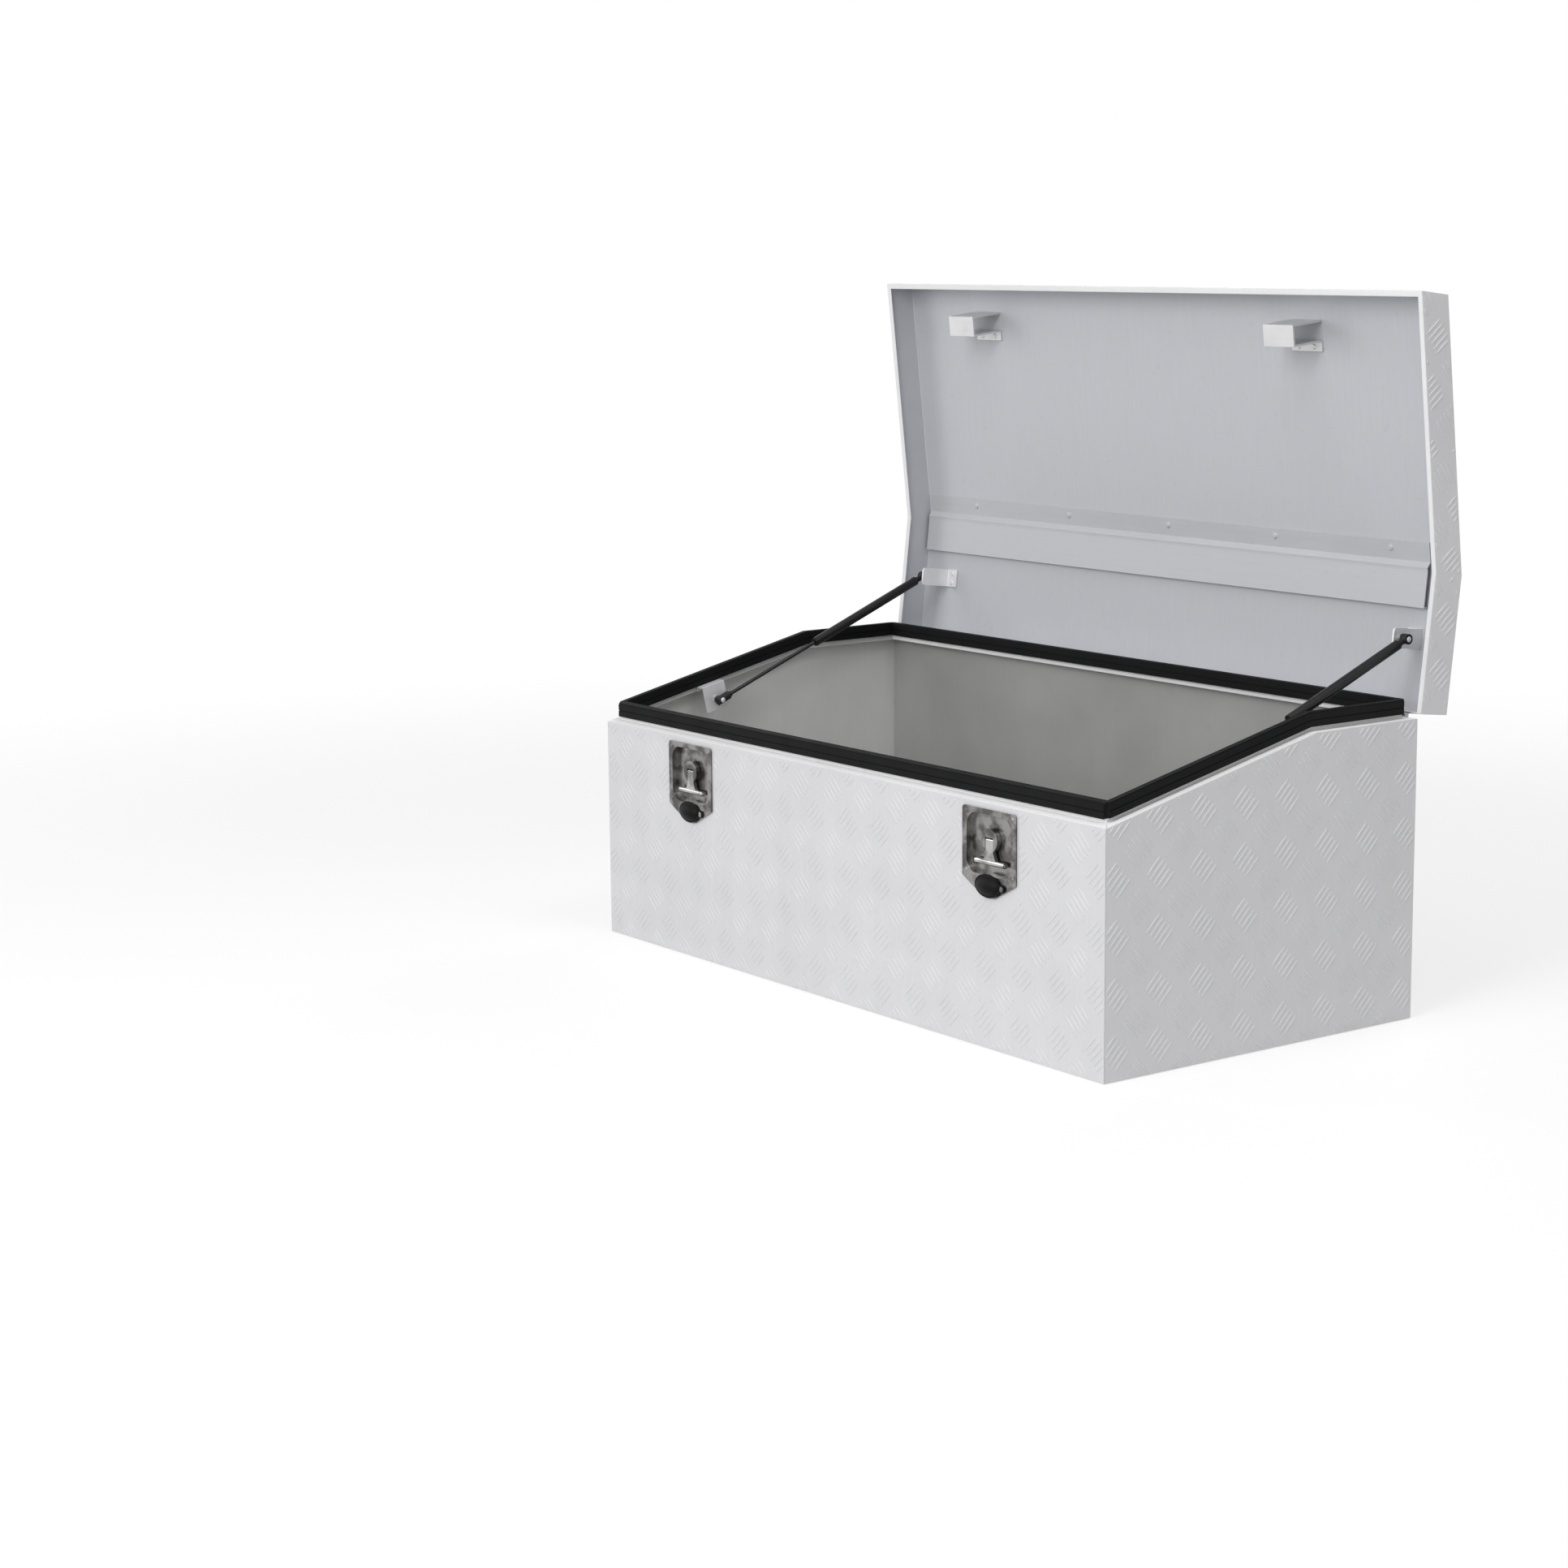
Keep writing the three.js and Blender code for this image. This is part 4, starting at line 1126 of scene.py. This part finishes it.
@dataclass
class Strut(Fittings):
    """One gas strut with its ball studs and brackets, and a domed spring clip on each ball socket."""

    clip_radius: float = 4.2 * MM
    clip_height: float = 1.4 * MM
    clip_steps: int = 4
    clip_sides: int = 24
    styles = {
        "strut_bracket_body": (CUT_SHEET, BRACKET_STEEL_PAINTED_LIGHT),
        "strut_bracket_lid": (CUT_SHEET, BRACKET_STEEL_PAINTED_LIGHT),
        "ball_stud_body": (FINE, ZINC_STEEL),
        "ball_stud_lid": (FINE, ZINC_STEEL),
        "strut_rod_socket": (TURNED, BLACK_PLASTIC),
        "strut_rod": (TURNED, ROD_BLACK),
        "strut_tube": (ROUND_TUBE, STRUT_BLACK),
        "strut_gland": (TURNED, BLACK_PLASTIC),
        "strut_tube_socket": (TURNED, BLACK_PLASTIC),
    }

    def dress(self) -> None:
        """Softens and finishes every piece of the strut and sets a clip on each ball socket."""
        super().dress()
        self.clip("strut_rod_socket", "ball_stud_body")
        self.clip("strut_tube_socket", "ball_stud_lid")

    def clip(self, socket: str, stud: str) -> bpy.types.Object:
        """Makes the clip that holds a socket on its ball, on the socket's face away from the stud.

        Args:
            socket: The socket's name without the hand.
            stud: The name of the stud in it, whose axis the clip shares.

        Returns:
            The clip, riding with the socket.
        """
        name = self.prefix + socket
        low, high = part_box(name)
        stud_low, stud_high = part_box(self.prefix + stud)
        axis = (stud_low + stud_high) / 2
        way = 1 if (low.x + high.x) / 2 > axis.x else -1
        mesh = self.dome(f"{name}_clip", Vector((high.x if way > 0 else low.x, axis.y, axis.z)), way)
        # The clip takes the bracket steel with its painted light.
        return finish_with(new_object(mesh.name, mesh), BRACKET_STEEL_PAINTED_LIGHT, self.frame["nodes"][name]["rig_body"])

    def dome(self, name: str, centre: Vector, way: int) -> bpy.types.Mesh:
        """The clip's dome, spun about a line along x.

        Args:
            name: The mesh's name.
            centre: Centre of its foot.
            way: 1 if it bulges to the right, and -1 if to the left.

        Returns:
            The mesh.
        """
        shape = bmesh.new()
        points = [shape.verts.new((0, 0, 0))]
        for step in range(self.clip_steps + 1):
            angle = math.pi / 2 * step / self.clip_steps
            points.append(shape.verts.new((self.clip_height * math.sin(angle),
                                           self.clip_radius * math.cos(angle), 0)))
        edges = [shape.edges.new(pair) for pair in zip(points, points[1:])]
        bmesh.ops.spin(shape, geom=points + edges, cent=(0, 0, 0), axis=(1, 0, 0), angle=math.tau,
                       steps=self.clip_sides, use_merge=True)
        bmesh.ops.remove_doubles(shape, verts=shape.verts, dist=WELD)
        bmesh.ops.scale(shape, vec=(way, 1, 1), verts=shape.verts)
        bmesh.ops.translate(shape, vec=centre, verts=shape.verts)
        bmesh.ops.recalc_face_normals(shape, faces=shape.faces)
        mesh = bpy.data.meshes.new(name)
        shape.to_mesh(mesh)
        shape.free()
        mesh.polygons.foreach_set("use_smooth", [True] * len(mesh.polygons))
        return mesh


# Stage


@dataclass(frozen=True)
class Lamp:
    """A square soft box that faces a point."""

    label: str
    place: tuple[float, float, float]
    size: float
    power: float
    aim: tuple[float, float, float] = (0.0, 0.0, 0.35)

    def light(self) -> bpy.types.Object:
        """Sets the lamp up.

        Returns:
            The lamp's object.
        """
        data = bpy.data.lights.new(self.label, "AREA")
        data.shape = "SQUARE"
        data.size = self.size
        data.energy = self.power
        lamp = new_object(self.label, data)
        lamp.location = self.place
        lamp.rotation_mode = "QUATERNION"
        lamp.rotation_quaternion = (Vector(self.aim) - Vector(self.place)).to_track_quat("-Z", "Y")
        return lamp


@dataclass
class Studio:
    """Pale floor, soft light and the camera."""

    floor_radius: float = 9.0
    floor_fade: tuple[float, float] = (1.4, 3.6)
    floor_drop: float = 0.95 * MM
    floor_sides: int = 96
    card_white: float = 0.85
    card_dim: float = 0.42
    card_glow: float = 0.62
    world_fill: float = 0.26
    lamps: tuple[Lamp, ...] = (
        Lamp("Key", (1.2, -4.4, 2.4), 2.6, 97.0),
        Lamp("Left", (-3.0, -2.6, 1.6), 1.6, 18.0),
        Lamp("Rake", (1.4, -2.6, 3.0), 0.5, 10.0),
        Lamp("Top", (0.8, -1.3, 4.2), 2.6, 38.0),
        Lamp("Inside", (1.6, 0.2, 3.4), 1.0, 15.0, aim=(-0.6, 0.0, 0.2)),
        Lamp("Side", (4.2, 0.6, 1.6), 2.2, 9.0),
        Lamp("Back", (-1.5, 4.4, 2.4), 2.6, 52.0),
    )
    camera_place: tuple[float, float, float] = (3.67231, -3.03566, 1.12371)
    camera_heading: float = 54.103
    camera_fall: float = 9.892
    camera_roll: float = -0.570
    lens: float = 73.156
    sensor: float = 36.0

    def build(self) -> None:
        """Makes the world, the lamps, the floor and the camera."""
        self.make_world()
        self.make_floor()
        for lamp in self.lamps:
            lamp.light()
        self.make_camera()

    def make_camera(self) -> None:
        """The camera, where the photograph was taken from."""
        data = bpy.data.cameras.new("Camera")
        data.sensor_fit = "HORIZONTAL"
        data.sensor_width = self.sensor
        data.lens = self.lens
        camera = new_object("Camera", data)
        turn = (Matrix.Rotation(math.radians(self.camera_heading), 4, "Z")
                @ Matrix.Rotation(math.radians(90 - self.camera_fall), 4, "X")
                @ Matrix.Rotation(math.radians(self.camera_roll), 4, "Z"))
        camera.matrix_world = Matrix.Translation(self.camera_place) @ turn
        bpy.context.scene.camera = camera

    def make_world(self) -> None:
        """White where the camera and reflections see it, and an even grey fill for the rest."""
        world = bpy.data.worlds.new("Studio")
        world.use_nodes = True
        bpy.context.scene.world = world
        nodes = NodeTree(world.node_tree)
        world.node_tree.nodes.clear()
        seen = nodes.node("ShaderNodeBackground", {"Color": grey(1.0)})
        fill = nodes.node("ShaderNodeBackground", {"Color": grey(1.0), "Strength": self.world_fill})
        mix = nodes.node("ShaderNodeMixShader", {0: shown_to_eye(nodes), 1: fill, 2: seen})
        nodes.node("ShaderNodeOutputWorld", {"Surface": mix})

    def make_floor(self) -> None:
        """A round pale floor that fades out into the white round it."""
        shape = bmesh.new()
        bmesh.ops.create_circle(shape, cap_ends=True, segments=self.floor_sides, radius=self.floor_radius,
                                matrix=Matrix.Translation((0, 0, -self.floor_drop)))
        mesh = bpy.data.meshes.new("studio_floor")
        shape.to_mesh(mesh)
        shape.free()
        floor = new_object("studio_floor", mesh)
        mesh.materials.append(self.floor_material())

    def floor_material(self) -> bpy.types.Material:
        """White card that keeps shadows.

        Returns:
            The material. For the camera half of it glows, so that it meets the white round it.
        """
        material = bpy.data.materials.new("Studio floor")
        material.use_nodes = True
        nodes = NodeTree(material.node_tree)
        material.node_tree.nodes.clear()
        card = nodes.node("ShaderNodeBsdfDiffuse", {"Color": grey(self.card_white)})
        dim = nodes.node("ShaderNodeBsdfDiffuse", {"Color": grey(self.card_dim)})
        glow = nodes.node("ShaderNodeEmission", {"Strength": self.card_glow})
        lit = nodes.node("ShaderNodeAddShader", {0: dim, 1: glow})
        shown = nodes.node("ShaderNodeMixShader", {0: shown_to_eye(nodes), 1: card, 2: lit})
        place = nodes.node("ShaderNodeTexCoord").outputs["Object"]
        distance = nodes.node("ShaderNodeVectorMath", {0: place}, operation="LENGTH").outputs["Value"]
        start, end = self.floor_fade
        fade = nodes.node("ShaderNodeMapRange", {"Value": distance, "From Min": start, "From Max": end},
                          interpolation_type="SMOOTHSTEP")
        clear = nodes.node("ShaderNodeBsdfTransparent")
        mix = nodes.node("ShaderNodeMixShader", {0: fade.outputs["Result"], 1: shown, 2: clear})
        nodes.node("ShaderNodeOutputMaterial", {"Surface": mix})
        return material


def grey(level: float) -> Colour:
    """A grey of that level as a shader colour."""
    return (level, level, level, 1.0)


def shown_to_eye(nodes: NodeTree) -> Socket:
    """Tells what meets the eye from what only lights the scene.

    Args:
        nodes: The tree that it is for.

    Returns:
        One for a ray from the camera, off a glossy surface or through glass, and zero for any other.
    """
    path = nodes.node("ShaderNodeLightPath")
    eye = nodes.math("MAXIMUM", path.outputs["Is Camera Ray"], path.outputs["Is Glossy Ray"])
    return nodes.math("MAXIMUM", eye, path.outputs["Is Transmission Ray"])


def main() -> None:
    """Dresses the tool box and sets its stage."""
    logging.basicConfig(level=logging.INFO, format="%(name)s: %(message)s")
    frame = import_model()
    bpy.context.scene.view_settings.view_transform = "Standard"
    shape = BoxShape.read(frame)
    LOG.info("front height %.1f mm, fold at %.1f mm", shape.front_height / MM, shape.fold / MM)
    pattern = TreadPattern()
    Studio().build()
    assemblies = [Shell(shape, frame, pattern), Lid(shape, frame, pattern), PianoHinge(frame), Seal(frame)]
    for hand in HANDS:
        assemblies += [Latch(frame, f"{hand}_latch_"), Strut(frame, f"{hand}_")]
    for assembly in assemblies:
        assembly.dress()
        LOG.info("dressed %s", type(assembly).__name__)


if __name__ == "__main__":
    main()
